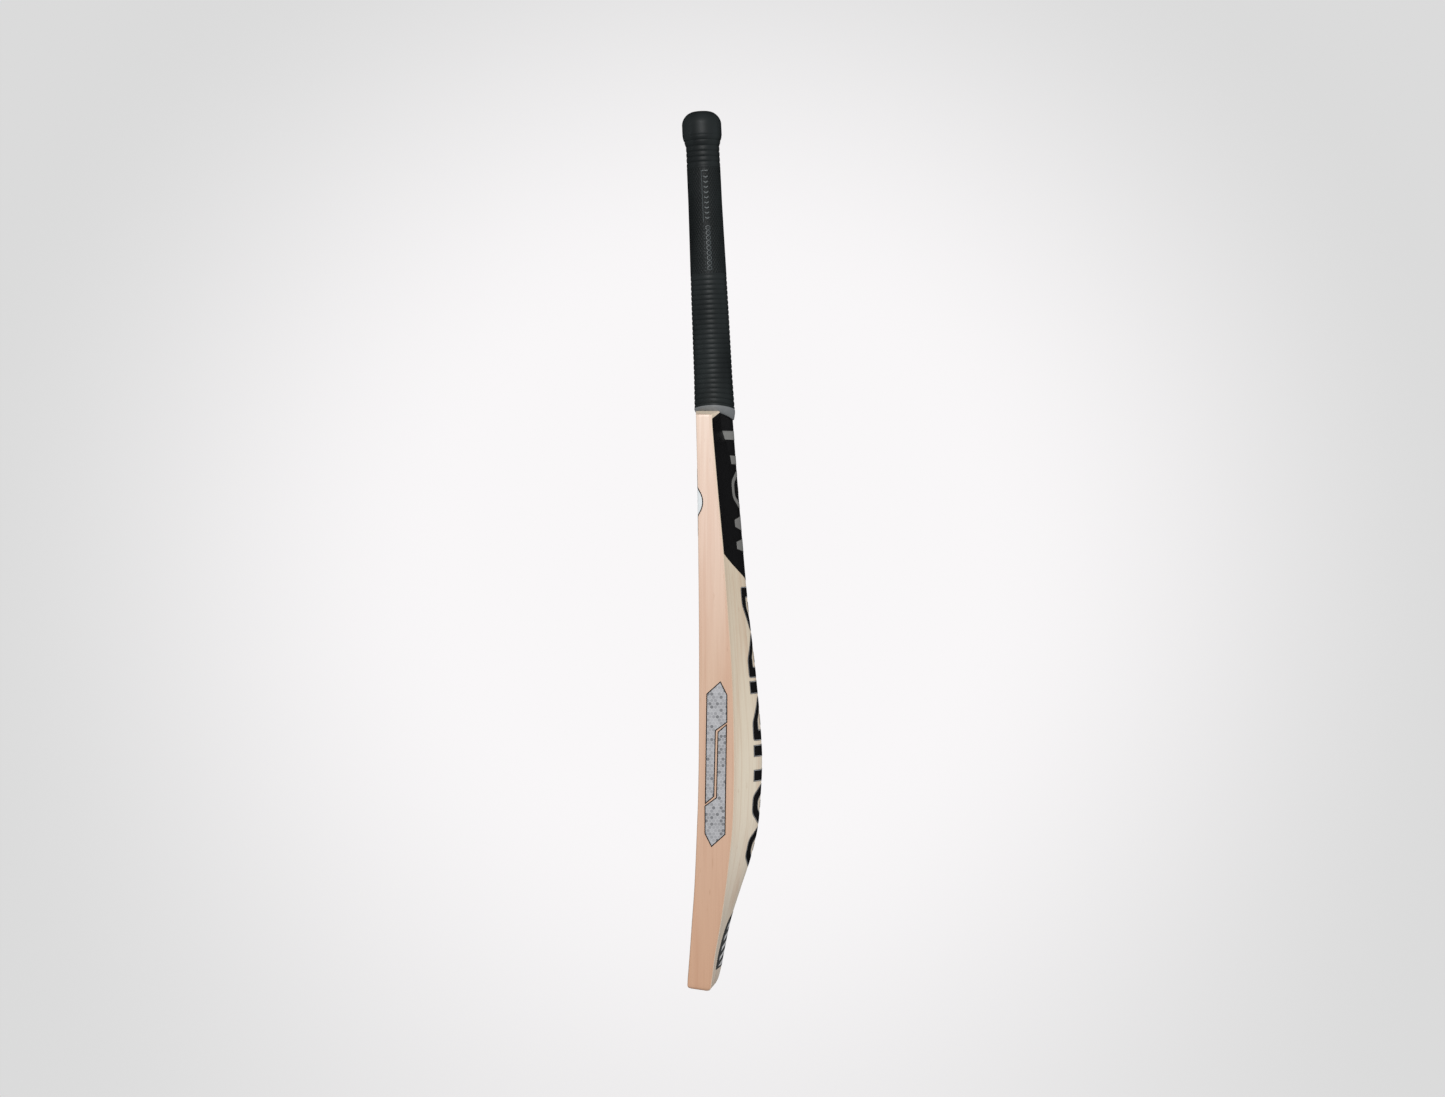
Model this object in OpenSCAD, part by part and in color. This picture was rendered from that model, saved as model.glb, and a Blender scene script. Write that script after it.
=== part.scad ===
// Full-size, short-handle cricket bat: a willow blade with a laminated cane handle spliced into it,
// a rubber grip over the handle, and thin vinyl labels on the blade. Millimetres.
// +X is the right-hand edge, +Y the back with its spine, -Y the hitting face, and +Z runs from the toe up.
// The origin lies on the flat of the toe, in the plane of the hitting face and midway between the edges.

/* [Blade] */
// Width of the blade across its two edges
blade_w = 108; // [100:1:108]
// Height of the shoulders at the two edges
shoulder_z = 551.7; // [535:0.5:556]
// Hollow of the face at the edges behind its middle
face_crown = 0.3; // [0:0.1:2]
// Radius of the two front corners of the blade
front_corner_r = 3; // [2:0.5:7]
// Size of the two corners where the edges meet the back
back_corner = 2.5; // [1:0.5:4]
// Radius of the rim round the toe
toe_r = 3; // [2:0.5:5]
// Slope of the toe, which falls towards the back
toe_slope = 0.15; // [0:0.01:0.2]
// Slope of the shoulders, which rise to the handle
shoulder_slope = 0.14; // [0:0.01:0.2]
// How sharp the ridge of the spine is, from sharp to round
spine_round = 0.22; // [0.1:0.01:0.5]

/* [Splice] */
// Half width of the handle's wedge at the shoulders
splice_top_w = 17; // [16.8:0.1:18]
// Half width of the wedge at its tip
splice_tip_w = 2; // [1:0.1:4]
// Height of the wedge's tip
splice_tip_z = 428; // [415:1:445]

/* [Handle] */
// Forward lean of the handle from the line of the blade
lean = 2.63; // [2:0.01:3]
// Length of the cane above its reference point at the shoulders
cane_len = 275; // [270:1:285]
// Thickness of each rubber layer between the cane
insert_t = 1.6; // [1:0.1:2.5]
// Distance between the middles of the rubber layers
insert_gap = 8.6; // [7:0.1:9]
// Half width of the middle column of cane
cane_middle_w = 5.6; // [4:0.1:7]
// Thickness of the twine bound round the cane
twine_t = 0.5; // [0.3:0.1:0.5]
// Thickness of the tape that holds the grip
tape_t = 0.15; // [0.1:0.05:0.15]

/* [Grip] */
// Outer radius of the collar at the top of the grip
collar_r = 19.2; // [18.8:0.1:20]
// Radius of the collar's rounded rim
collar_rim_r = 8.5; // [6:0.5:9]
// Radius of the opening over the end of the cane
grip_hole_r = 6.5; // [4:0.5:9]
// Outer radius of the cuff at the foot of the grip
cuff_r = 19.8; // [19.8:0.1:20.5]

/* [Labels] */
// Thickness of the vinyl labels
label_t = 0.25; // [0.15:0.05:0.3]
// Half width of the shapes along the spine
motif_w = 20; // [16:1:22]
// Width of the strokes of those shapes
motif_stroke = 10.5; // [6:0.5:11]

/* [Hidden] */
$fn = 72;
tiny = 0.01;
half_w = blade_w / 2;

// Side profile of the blade: height, then the face, the edge's back corner and the spine, as Y
stations = [
    [0, -11.2, 11.3, 15.5],
    [8, -10.7, 12.6, 19.8],
    [30, -9, 15.4, 24.4],
    [60, -6.9, 20.6, 30.6],
    [90, -4.7, 25, 40],
    [120, -3.2, 28.6, 49.8],
    [150, -2, 31.6, 57],
    [180, -0.9, 33.2, 59.9],
    [225, -0.1, 33.7, 61.3],
    [300, 0.2, 31.8, 55.4],
    [360, 0, 27.9, 48.5],
    [420, -0.6, 23.3, 43],
    [480, -1.2, 17.7, 38],
    [540, -2.6, 12.7, 33.4],
    [560, -3.1, 12, 32.1]
];
last = len(stations) - 1;
FACE = 1;
CORNER = 2;
SPINE = 3;

// A smooth curve through one column of the stations
function station_slope(c, i) =
    let (a = max(0, i - 1), b = min(last, i + 1))
    (stations[b][c] - stations[a][c]) / (stations[b][0] - stations[a][0]);
function station_below(z, i = 0) = (i >= last - 1 || z < stations[i + 1][0]) ? i : station_below(z, i + 1);
function profile(c, z) =
    let (
        i = station_below(z),
        h = stations[i + 1][0] - stations[i][0],
        t = (z - stations[i][0]) / h,
        s = 1 - t
    )
    stations[i][c] * s * s * (1 + 2 * t) + stations[i + 1][c] * t * t * (1 + 2 * s)
    + station_slope(c, i) * h * s * s * t - station_slope(c, i + 1) * h * t * t * s;

// Share of the neck in the back's shape: none on the blade, all of it at the shoulders. The neck is round
// under the handle, and falls in a straight flank from there to each edge.
neck_from_z = 505;
neck_to_z = 548;
neck_half_w = 19;
neck_power = 0.7;
neck_flank = 0.6;
ridge_power = 1.15;
function ease(t) = t * t * (3 - 2 * t);
function neck(z) = ease(min(1, max(0, (z - neck_from_z) / (neck_to_z - neck_from_z))));
function neck_shape(x) =
    max(pow(max(0, 1 - pow(x / neck_half_w, 2)), neck_power), neck_flank * (1 - abs(x) / half_w));
function ridge_shape(x) =
    let (flat = sqrt(1 + pow(spine_round, 2)))
    pow(max(0, (flat - sqrt(pow(x / half_w, 2) + pow(spine_round, 2))) / (flat - spine_round)), ridge_power);

// The two broad surfaces of the blade
function face_y(x, z) = profile(FACE, z) + face_crown * pow(x / half_w, 2);
function back_y(x, z) =
    let (n = neck(z), low = profile(CORNER, z))
    low + (profile(SPINE, z) - low) * (n * neck_shape(x) + (1 - n) * ridge_shape(x));

// Height of a point of a level, which the rising shoulders lift near the top of the blade
lift_from_z = 500;
function lifted(x, z) =
    z + shoulder_slope * (half_w - max(abs(x), neck_half_w))
    * max(0, (z - lift_from_z) / (shoulder_z - lift_from_z));

// Right-hand half of the blade's outline at one level, from the middle of the face to the spine
face_steps = 4;
corner_steps = 3;
back_steps = 18;
face_flat_w = half_w - front_corner_r;
back_flat_w = half_w - back_corner;
function half_outline(z) =
    let (
        top = lifted(half_w, z),
        edge_back = profile(CORNER, top),
        centre_y = face_y(face_flat_w, top) + front_corner_r,
        across = [for (k = [0:face_steps]) face_flat_w * k / face_steps],
        back_across = [for (k = [back_steps:-1:0]) back_flat_w * k / back_steps]
    )
    concat(
        [for (x = across) [x, face_y(x, lifted(x, z)), lifted(x, z)]],
        [for (k = [1:corner_steps]) let (a = 90 * k / corner_steps)
            [face_flat_w + front_corner_r * sin(a), centre_y - front_corner_r * cos(a), top]],
        [[half_w, edge_back - back_corner, top]],
        [[half_w - back_corner / 4, (edge_back * 3 + back_y(back_flat_w, top) - back_corner) / 4, top]],
        [for (x = back_across) [x, back_y(x, lifted(x, z)), lifted(x, z)]]
    );
function whole_outline(z) =
    let (half = half_outline(z), n = len(half))
    concat(half, [for (k = [n - 2:-1:1]) [-half[k].x, half[k].y, half[k].z]]);

// The rim of the toe draws a level in towards its middle, and the toe's slope lowers its back
toe_fade_z = 16;
top_rim = 1;
function level_inset(z) =
    z < toe_r ? toe_r - sqrt(pow(toe_r, 2) - pow(toe_r - z, 2)) : max(0, z - shoulder_z + top_rim);
function blade_level(z) =
    let (
        middle_y = (profile(FACE, z) + profile(CORNER, z)) / 2,
        half_depth = (profile(CORNER, z) - profile(FACE, z)) / 2,
        inset = level_inset(z),
        fade = pow(max(0, 1 - z / toe_fade_z), 2)
    )
    [for (p = whole_outline(z))
        let (y = middle_y + (p.y - middle_y) * (1 - inset / half_depth))
        [p.x * (1 - inset / half_w), y, p.z - toe_slope * y * fade]];
toe_levels = [for (a = [0:30:90]) toe_r * (1 - cos(a))];
// Levels lie closer together where the neck forms, so that the labels follow the wood there
neck_levels = [508:8:548];
body_levels = concat([for (z = [20:20:500]) z], [for (z = neck_levels) z]);
shoulder_levels = [shoulder_z - top_rim, shoulder_z];
wedge_from_z = 400;

// A closed solid through equal rings of points, with a fan over each end
function mean(ring) = [for (k = [0:2]) [for (p = ring) p[k]] * [for (p = ring) 1] / len(ring)];
module loft(rings) {
    n = len(rings[0]);
    m = len(rings);
    polyhedron(
        points = concat([for (ring = rings) each ring], [mean(rings[0]), mean(rings[m - 1])]),
        faces = concat(
            [for (i = [0:m - 2]) for (j = [0:n - 1]) let (k = (j + 1) % n)
                let (a = i * n + j, b = i * n + k)
                each [[a, a + n, b + n], [a, b + n, b]]],
            [for (j = [0:n - 1]) [n * m, j, (j + 1) % n]],
            [for (j = [0:n - 1]) [n * m + 1, (m - 1) * n + (j + 1) % n, (m - 1) * n + j]]
        )
    );
}

module blade_form(levels) {
    loft([for (z = levels) blade_level(z)]);
}

// The middle of the top of the blade, without the slot of the splice. It takes its points from the blade's own
// levels, so that its surfaces lie in the blade's.
core_half_w = half_w * 0.49;
module upper_core() {
    levels = concat([for (z = body_levels) if (z >= wedge_from_z) z], shoulder_levels);
    loft([for (z = levels) [for (p = blade_level(z)) if (abs(p.x) < core_half_w) p]]);
}

// The wedge of the splice, straight through the blade from face to back
through = 100;
module splice_wedge() {
    rise = splice_top_w - splice_tip_w;
    over = 20;
    top_z = shoulder_z + over;
    top_w = splice_top_w + rise * over / (shoulder_z - splice_tip_z);
    translate([0, through, 0])
        rotate([90, 0, 0])
            linear_extrude(2 * through)
                polygon([
                    [-splice_tip_w, splice_tip_z],
                    [splice_tip_w, splice_tip_z],
                    [top_w, top_z],
                    [-top_w, top_z]
                ]);
}

module blade() {
    color([0.86, 0.74, 0.62])
        difference() {
            blade_form(concat(toe_levels, body_levels, shoulder_levels));
            splice_wedge();
        }
}

// The handle's own frame: +Z along the cane, from a point on its axis beside the shoulders
handle_y = 14.75;
handle_z = 570;
module along_handle() {
    translate([0, handle_y, handle_z])
        rotate([lean, 0, 0])
            children();
}

// Turned shapes of the handle: height along it, radius of the cane, outer radius of the grip
turned = [
    [-16, 16.5, 19.8],
    [0, 16.3, 19.4],
    [20, 15.9, 18.8],
    [95, 15.1, 18],
    [150, 14.3, 17.1],
    [190, 13.8, 16.5],
    [243, 13.6, 16.3],
    [cane_len, 13.6, collar_r]
];
grip_bore = twine_t + tape_t + 0.05;
function cane_r(h) = lookup(h, [for (t = turned) [t[0], t[1]]]);

// A sleeve round the cane from one height to another, with its bore and its wall
module sleeve(from_h, to_h, bore, wall) {
    between = [for (t = turned) if (t[0] > from_h && t[0] < to_h) t[0]];
    heights = concat([from_h], between, [to_h]);
    along_handle()
        rotate_extrude()
            polygon(concat(
                [for (h = heights) [cane_r(h) + bore + wall, h]],
                [for (k = [len(heights) - 1:-1:0]) [cane_r(heights[k]) + bore, heights[k]]]
            ));
}

// The whole cane before it is split: the turned handle and the wedge below it
module cane_form() {
    along_handle()
        rotate_extrude()
            polygon(concat([[0, turned[0][0]]], [for (t = turned) [t[1], t[0]]], [[0, cane_len]]));
    intersection() {
        upper_core();
        splice_wedge();
    }
}

// One slice of the cane between two planes across the handle and two beside each other
module cane_slice(x_from, x_to, y_from, y_to) {
    slice_from = -165;
    slice_len = 460;
    intersection() {
        cane_form();
        along_handle()
            translate([x_from, y_from, slice_from])
                cube([x_to - x_from, y_to - y_from, slice_len]);
    }
}

beyond = 40;
layer_edge = (insert_gap - insert_t) / 2;
columns = [[-beyond, -cane_middle_w], [-cane_middle_w, cane_middle_w], [cane_middle_w, beyond]];
layers = [
    [-beyond, -insert_gap - insert_t / 2],
    [-insert_gap + insert_t / 2, -insert_t / 2],
    [insert_t / 2, insert_gap - insert_t / 2],
    [insert_gap + insert_t / 2, beyond]
];

// A strip of cane, by its layer from the face and its column from the left
module cane_strip(layer, column) {
    color([0.80, 0.66, 0.42])
        cane_slice(columns[column][0], columns[column][1], layers[layer][0], layers[layer][1]);
}

// A rubber layer between the cane, by its place from the face: -1, 0 or 1
module rubber_insert(place) {
    color([0.16, 0.15, 0.15])
        cane_slice(-beyond, beyond, place * insert_gap - insert_t / 2, place * insert_gap + insert_t / 2);
}

binding_from = -12.5;
binding_to = 270;
module twine_binding() {
    color([0.85, 0.82, 0.74])
        sleeve(binding_from, binding_to, 0, twine_t);
}

tape_len = 25;
module grip_tape(from_h) {
    color([0.92, 0.92, 0.90])
        sleeve(from_h, from_h + tape_len, twine_t, tape_t);
}

// The cut between grip and cuff, and the cut under the cuff: each arches at the sides of the handle
grip_foot_r = 75.5;
grip_foot_y = 13.65;
grip_foot_top = 562.5;
cuff_foot_r = 57;
cuff_foot_y = 6.75;
cuff_foot_top = 556.4;
module saddle(r, y, top_z) {
    translate([-through / 2, y, top_z - r])
        rotate([0, 90, 0])
            cylinder(r = r, h = through, $fn = 144);
}

// Half section of the grip: its outside, the collar with a rounded rim and a slight crown, and its bore
collar_from = 255;
collar_full = 264;
collar_taper = 0.4;
collar_crown = 2.4;
// Rubber over the end of the cane, deep enough for the rounded rim to clear the cane's corner
grip_cap = 4.6;
grip_top = cane_len + grip_cap;
rim_centre = grip_top - collar_crown - collar_rim_r;
rim_steps = 6;
grip_outside = concat(
    [for (t = turned) if (t[0] < collar_from) [t[2], t[0]]],
    [[collar_r - collar_taper, collar_from], [collar_r, collar_full]],
    [for (k = [0:rim_steps]) let (a = 90 * k / rim_steps)
        [collar_r - collar_rim_r * (1 - cos(a)), rim_centre + collar_rim_r * sin(a)]],
    [[grip_hole_r, grip_top]]
);
grip_inside = concat(
    [[grip_hole_r, cane_len + tiny], [cane_r(cane_len) + grip_bore, cane_len + tiny]],
    [for (k = [len(turned) - 2:-1:0]) [turned[k][1] + grip_bore, turned[k][0]]]
);
module grip() {
    color([0.12, 0.13, 0.13])
        difference() {
            along_handle()
                rotate_extrude()
                    polygon(concat(grip_outside, grip_inside));
            saddle(grip_foot_r, grip_foot_y, grip_foot_top);
        }
}

cuff_from = -24;
cuff_full = -8;
cuff_to = -5;
cuff_bore = 17.4;
cuff_lip = 1;
// Gap between the cuff and the wood under it, which leaves room for the top of the shoulder panel
cuff_gap = 0.35;
module grip_cuff() {
    color([0.45, 0.48, 0.50])
        difference() {
            intersection() {
                along_handle()
                    rotate_extrude()
                        polygon([
                            [cuff_bore, cuff_from],
                            [cuff_bore + cuff_lip, cuff_from],
                            [cuff_r, cuff_full],
                            [cuff_r, cuff_to],
                            [cuff_bore, cuff_to]
                        ]);
                saddle(grip_foot_r, grip_foot_y, grip_foot_top);
            }
            saddle(cuff_foot_r, cuff_foot_y, cuff_foot_top);
            for (way = [-1, 1])
                translate([0, way * cuff_gap, cuff_gap])
                    upper_core();
        }
}

// A thin label between two equal grids of points, its outside and its underside; wrap joins its two end rows
module label(outside, underside, wrap = false) {
    n = len(outside);
    m = len(outside[0]);
    rows = wrap ? n - 1 : n - 2;
    under = n * m;
    polyhedron(
        points = concat([for (row = outside) each row], [for (row = underside) each row]),
        faces = concat(
            [for (i = [0:rows]) for (j = [0:m - 2])
                let (a = i * m + j, b = (i + 1) % n * m + j)
                each [[a, b, b + 1], [a, b + 1, a + 1], [under + b + 1, under + b, under + a],
                    [under + a + 1, under + b + 1, under + a]]],
            [for (i = [0:rows])
                let (a = i * m, b = (i + 1) % n * m)
                each [[a, under + a, under + b], [a, under + b, b]]],
            [for (i = [0:rows])
                let (a = i * m + m - 1, b = (i + 1) % n * m + m - 1)
                each [[a, b, under + b], [a, under + b, under + a]]],
            wrap ? [] : [for (j = [0:m - 2])
                each [[j, j + 1, under + j + 1], [j, under + j + 1, under + j]]],
            wrap ? [] : [for (j = [0:m - 2]) let (a = (n - 1) * m + j)
                each [[a, under + a, under + a + 1], [a, under + a + 1, a + 1]]]
        )
    );
}

// A label on the back of the blade, from a grid of points given as X and Z; base lifts it over a label below
label_bed = 0.1;
module back_label(grid, base = 0, wrap = false) {
    label(
        [for (row = grid) [for (p = row) [p.x, back_y(p.x, p[1]) + base + label_t, p[1]]]],
        [for (row = grid) [for (p = row) [p.x, back_y(p.x, p[1]) + base - label_bed, p[1]]]],
        wrap
    );
}

// A straight-ended patch across the back, from its half width and the heights of its two ends at each X
function patch(w, steps, rows, low, high) =
    [for (i = [-steps:steps]) let (x = w * i / steps)
        [for (j = [0:rows]) [x, low(x) + (high(x) - low(x)) * j / rows]]];

panel_low_z = 392;
panel_side_z = 419.8;
panel_top_z = 549.5;
panel_neck_w = 17;
panel_neck_rise = 6;
panel_side_fall = 0.225;
function panel_low(x) = panel_low_z + (panel_side_z - panel_low_z) * pow(abs(x) / half_w, 1.15);
function panel_high(x) =
    abs(x) < panel_neck_w
    ? panel_top_z + panel_neck_rise * pow(x / panel_neck_w, 2)
    : panel_top_z + panel_neck_rise - panel_side_fall * (abs(x) - panel_neck_w);
module shoulder_panel() {
    color([0.08, 0.08, 0.09])
        back_label(patch(back_flat_w, 18, 20, function (x) panel_low(x), function (x) panel_high(x)));
}

// A bar right across the spine between two heights
module motif_bar(w, from_z, to_z, base = 0) {
    back_label(patch(w, 4, 1, function (x) from_z, function (x) to_z), base);
}

// A hollow arrowhead with a square foot; way is 1 with its point up and -1 with its point down
function side_points(corners, steps) =
    [for (i = [0:len(corners) - 1]) for (k = [0:steps - 1])
        corners[i] + (corners[(i + 1) % len(corners)] - corners[i]) * k / steps];
function arrowhead(w, h, side_h, tip_w) =
    [[w, 0], [w, side_h], [tip_w, h], [-tip_w, h], [-w, side_h], [-w, 0]];
module motif_arrow(w, base_z, h, way) {
    side_h = h * 0.42;
    outer = arrowhead(w, h, side_h, 6);
    inner = [for (p = arrowhead(w - motif_stroke, h - 2 * motif_stroke, side_h - motif_stroke * 0.8, 2))
        p + [0, motif_stroke]];
    outer_ring = side_points(outer, 4);
    inner_ring = side_points(inner, 4);
    n = len(outer_ring);
    rows = [for (i = [0:n - 1]) let (k = way > 0 ? i : n - 1 - i)
        [for (p = [outer_ring[k], (outer_ring[k] + inner_ring[k]) / 2, inner_ring[k]])
            [p.x, base_z + way * p.y]]];
    back_label(rows, 0, true);
}

// A six-sided ring across the spine with a small bar in its middle
module motif_ring(w, low_z, high_z, stroke, base = 0) {
    middle_z = (low_z + high_z) / 2;
    h = (high_z - low_z) / 2;
    core = h * 0.18;
    motif_bar(core, middle_z - core, middle_z + core, base);
    side = [[1, -0.45], [1, 0.45], [0.3, 1], [-0.3, 1], [-1, 0.45], [-1, -0.45], [-0.3, -1], [0.3, -1]];
    outer_ring = side_points([for (p = side) [p.x * w, p.y * h]], 3);
    inner_ring = side_points([for (p = side) [p.x * (w - stroke), p.y * (h - stroke)]], 3);
    back_label(
        [for (i = [0:len(outer_ring) - 1])
            [for (p = [outer_ring[i], (outer_ring[i] + inner_ring[i]) / 2, inner_ring[i]])
                [p.x, middle_z + p.y]]],
        base,
        true
    );
}

// A long hexagon across the spine: end_h high at its two ends and h high at the spine
module motif_hexagon(w, middle_z, h, end_h, base = 0) {
    function half_h(x) = (h - (h - end_h) * abs(x) / w) / 2;
    back_label(
        patch(w, 4, 1, function (x) middle_z - half_h(x), function (x) middle_z + half_h(x)),
        base
    );
}

mark_w = 17;
module panel_marks() {
    color([0.49, 0.49, 0.48]) {
        motif_bar(mark_w, 529, 537.5, label_t);
        motif_bar(mark_w, 505, 513.5, label_t);
        motif_ring(motif_w, 462, 499, 5, label_t);
        motif_hexagon(motif_w, 447.6, 16.2, 7, label_t);
        motif_hexagon(motif_w, 426.2, 13.8, 7, label_t);
    }
}

// The black shapes along the spine, from the top one down
module back_motif(place) {
    color([0.05, 0.05, 0.06]) {
        if (place == 1) motif_arrow(motif_w, 386, 43, -1);
        if (place == 2) motif_arrow(motif_w, 297.5, 43, 1);
        if (place == 3) motif_bar(motif_w, 282, 294.5);
        if (place == 4) motif_arrow(motif_w, 236.5, 42.5, 1);
        if (place == 5) motif_bar(motif_w, 221, 232.5);
        if (place == 6) motif_bar(motif_w, 197, 208.5);
        if (place == 7) motif_ring(motif_w, 155, 194, motif_stroke);
        if (place == 8) motif_ring(motif_w, 113, 152, motif_stroke);
    }
}

// One half of the label on an edge, drawn as Y and Z; the other half is the same turned about the middle
edge_label_middle = [16.6, 216.5];
edge_half = [[21, 296], [27.5, 283], [27.5, 256.5], [16.5, 248.5], [15, 185.5], [6, 178], [7.5, 284]];
module edge_label(side, turned_over) {
    color([0.76, 0.76, 0.78])
        translate([side * half_w, edge_label_middle[0], edge_label_middle[1]])
            rotate([90, 0, 90])
                translate([0, 0, side > 0 ? 0 : -label_t])
                    linear_extrude(label_t)
                        rotate(turned_over ? 180 : 0)
                            translate(-edge_label_middle)
                                polygon(edge_half);
}

// A point over the face at a distance u from its middle, measured round the front corner and on to the edge
corner_turn = front_corner_r * PI / 2;
function over_face(u, z, h) =
    let (
        past = abs(u) - face_flat_w,
        a = 90 * min(1, past / corner_turn),
        r = front_corner_r + h,
        along_edge = max(0, past - corner_turn),
        x = past < 0 ? abs(u) : face_flat_w + r * sin(a),
        y = past < 0 ? face_y(u, z) - h : face_y(face_flat_w, z) + front_corner_r - r * cos(a) + along_edge
    )
    [sign(u) * x, y, z];

// An oval badge over the face whose two ends wrap on to the edges
badge_z = 468;
badge_w = 58;
badge_h = 33;
badge_steps = 18;
badge_rows = 4;
module face_badge() {
    function badge_point(i, j, h) =
        let (a = 86 * i / badge_steps)
        over_face(badge_w * sin(a), badge_z + badge_h * cos(a) * j / badge_rows, h);
    function badge_grid(h) =
        [for (i = [badge_steps:-1:-badge_steps]) [for (j = [-badge_rows:badge_rows]) badge_point(i, j, h)]];
    color([0.93, 0.94, 0.95])
        label(badge_grid(label_t), badge_grid(-label_bed));
}

// The label over the toe: a half oval with its straight side down
toe_label_low = 17;
toe_label_w = 38;
toe_label_h = 52;
module toe_label() {
    color([0.31, 0.31, 0.31])
        back_label(patch(toe_label_w - 1, 12, 5,
            function (x) toe_label_low,
            function (x) toe_label_low + toe_label_h * sqrt(1 - pow(x / toe_label_w, 2))));
}

blade();
cane_strip(0, 0);  // cane_strip_face_left
cane_strip(0, 1);  // cane_strip_face_middle
cane_strip(0, 2);  // cane_strip_face_right
cane_strip(1, 0);  // cane_strip_second_left
cane_strip(1, 1);  // cane_strip_second_middle
cane_strip(1, 2);  // cane_strip_second_right
cane_strip(2, 0);  // cane_strip_third_left
cane_strip(2, 1);  // cane_strip_third_middle
cane_strip(2, 2);  // cane_strip_third_right
cane_strip(3, 0);  // cane_strip_back_left
cane_strip(3, 1);  // cane_strip_back_middle
cane_strip(3, 2);  // cane_strip_back_right
rubber_insert(-1);  // rubber_insert_face
rubber_insert(0);  // rubber_insert_middle
rubber_insert(1);  // rubber_insert_back
twine_binding();
grip_tape(binding_from + 5);  // grip_tape_lower
grip_tape(binding_to - tape_len - 5);  // grip_tape_upper
grip();
grip_cuff();
shoulder_panel();
panel_marks();
back_motif(1);  // back_motif_1
back_motif(2);  // back_motif_2
back_motif(3);  // back_motif_3
back_motif(4);  // back_motif_4
back_motif(5);  // back_motif_5
back_motif(6);  // back_motif_6
back_motif(7);  // back_motif_7
back_motif(8);  // back_motif_8
edge_label(1, false);  // edge_label_right_upper
edge_label(1, true);  // edge_label_right_lower
edge_label(-1, false);  // edge_label_left_upper
edge_label(-1, true);  // edge_label_left_lower
face_badge();
toe_label();
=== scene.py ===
import math
from bisect import bisect_right

import bmesh
import bpy
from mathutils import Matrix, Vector
from mathutils.geometry import tessellate_polygon


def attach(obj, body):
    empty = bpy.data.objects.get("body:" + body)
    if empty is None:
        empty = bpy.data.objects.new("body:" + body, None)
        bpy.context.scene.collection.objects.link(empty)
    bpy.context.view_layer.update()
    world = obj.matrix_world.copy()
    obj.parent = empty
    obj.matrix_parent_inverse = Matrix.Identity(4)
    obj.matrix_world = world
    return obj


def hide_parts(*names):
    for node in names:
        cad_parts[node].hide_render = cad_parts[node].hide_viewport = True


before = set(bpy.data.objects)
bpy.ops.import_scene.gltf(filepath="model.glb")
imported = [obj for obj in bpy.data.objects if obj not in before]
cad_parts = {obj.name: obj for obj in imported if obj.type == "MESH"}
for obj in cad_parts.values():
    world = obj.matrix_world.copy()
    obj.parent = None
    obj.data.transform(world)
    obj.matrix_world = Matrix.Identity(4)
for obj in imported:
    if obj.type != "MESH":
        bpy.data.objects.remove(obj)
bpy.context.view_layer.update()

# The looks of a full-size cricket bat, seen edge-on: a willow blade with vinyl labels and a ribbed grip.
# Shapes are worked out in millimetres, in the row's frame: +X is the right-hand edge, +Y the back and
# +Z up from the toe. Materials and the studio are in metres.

MM = 0.001

# ---------------------------------------------------------------- sizes of the blade

# Side profile: height, then the face, the edge's back corner and the spine, as Y
STATIONS = [
    (0, -11.2, 11.3, 15.5),
    (8, -10.7, 12.6, 19.8),
    (30, -9, 15.4, 24.4),
    (60, -6.9, 20.6, 30.6),
    (90, -4.7, 25, 40),
    (120, -3.2, 28.6, 49.8),
    (150, -2, 31.6, 57),
    (180, -0.9, 33.2, 59.9),
    (225, -0.1, 33.7, 61.3),
    (300, 0.2, 31.8, 55.4),
    (360, 0, 27.9, 48.5),
    (420, -0.6, 23.3, 43),
    (480, -1.2, 17.7, 38),
    (540, -2.6, 12.7, 33.4),
    (560, -3.1, 12, 32.1),
]
HEIGHTS = [station[0] for station in STATIONS]
FACE, CORNER, SPINE = 1, 2, 3
HALF_W = 54
SHOULDER_Z = 551.7
FACE_CROWN = 0.3
FRONT_CORNER_R = 3
BACK_CORNER = 2.5
TOE_R = 3
TOE_SLOPE = 0.145
TOE_FADE_Z = 16
TOP_RIM = 1
SHOULDER_SLOPE = 0.14
LIFT_FROM_Z = 500
SPINE_ROUND = 0.22
RIDGE_POWER = 1.15
NECK_FROM_Z, NECK_TO_Z = 505, 548
NECK_HALF_W = 19
NECK_POWER = 0.7
NECK_FLANK = 0.6
FACE_FLAT_W = HALF_W - FRONT_CORNER_R
BACK_FLAT_W = HALF_W - BACK_CORNER

# The splice's wedge: half its width and the height of its tip, and half its width at the shoulders
SPLICE_TIP_W, SPLICE_TIP_Z, SPLICE_TOP_W = 2, 428, 17
GLUE_LINE = 0.12

# ---------------------------------------------------------------- sizes of the handle

HANDLE_Y, HANDLE_Z = 14.75, 570
LEAN = math.radians(2.63)
CANE_LEN = 275
# Height along the handle, radius of the cane, outer radius of the grip
TURNED = [
    (-16, 16.5, 19.8),
    (0, 16.3, 19.4),
    (20, 15.9, 18.8),
    (95, 15.1, 18),
    (150, 14.3, 17.1),
    (190, 13.8, 16.5),
    (243, 13.6, 16.3),
    (CANE_LEN, 13.6, 16.3),
]
GRIP_BORE = 0.7
GRIP_FOOT = (75.5, 13.65, 562.5)  # radius, Y and top of the saddle cut between grip and cuff
CUFF_FOOT = (57, 6.75, 556.4)  # the same for the cut under the cuff
COLLAR_R, COLLAR_FROM, COLLAR_TO = 19.2, 243, 257
HOLE_R = 6.5
GRIP_CAP = 4.59
GRIP_TOP = CANE_LEN + GRIP_CAP
DOME_H = 12.4

LABEL_T = 0.2
LABEL_BED = 0.1


# ---------------------------------------------------------------- shapes of the blade

def ease(t):
    t = min(1, max(0, t))
    return t * t * (3 - 2 * t)


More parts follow.
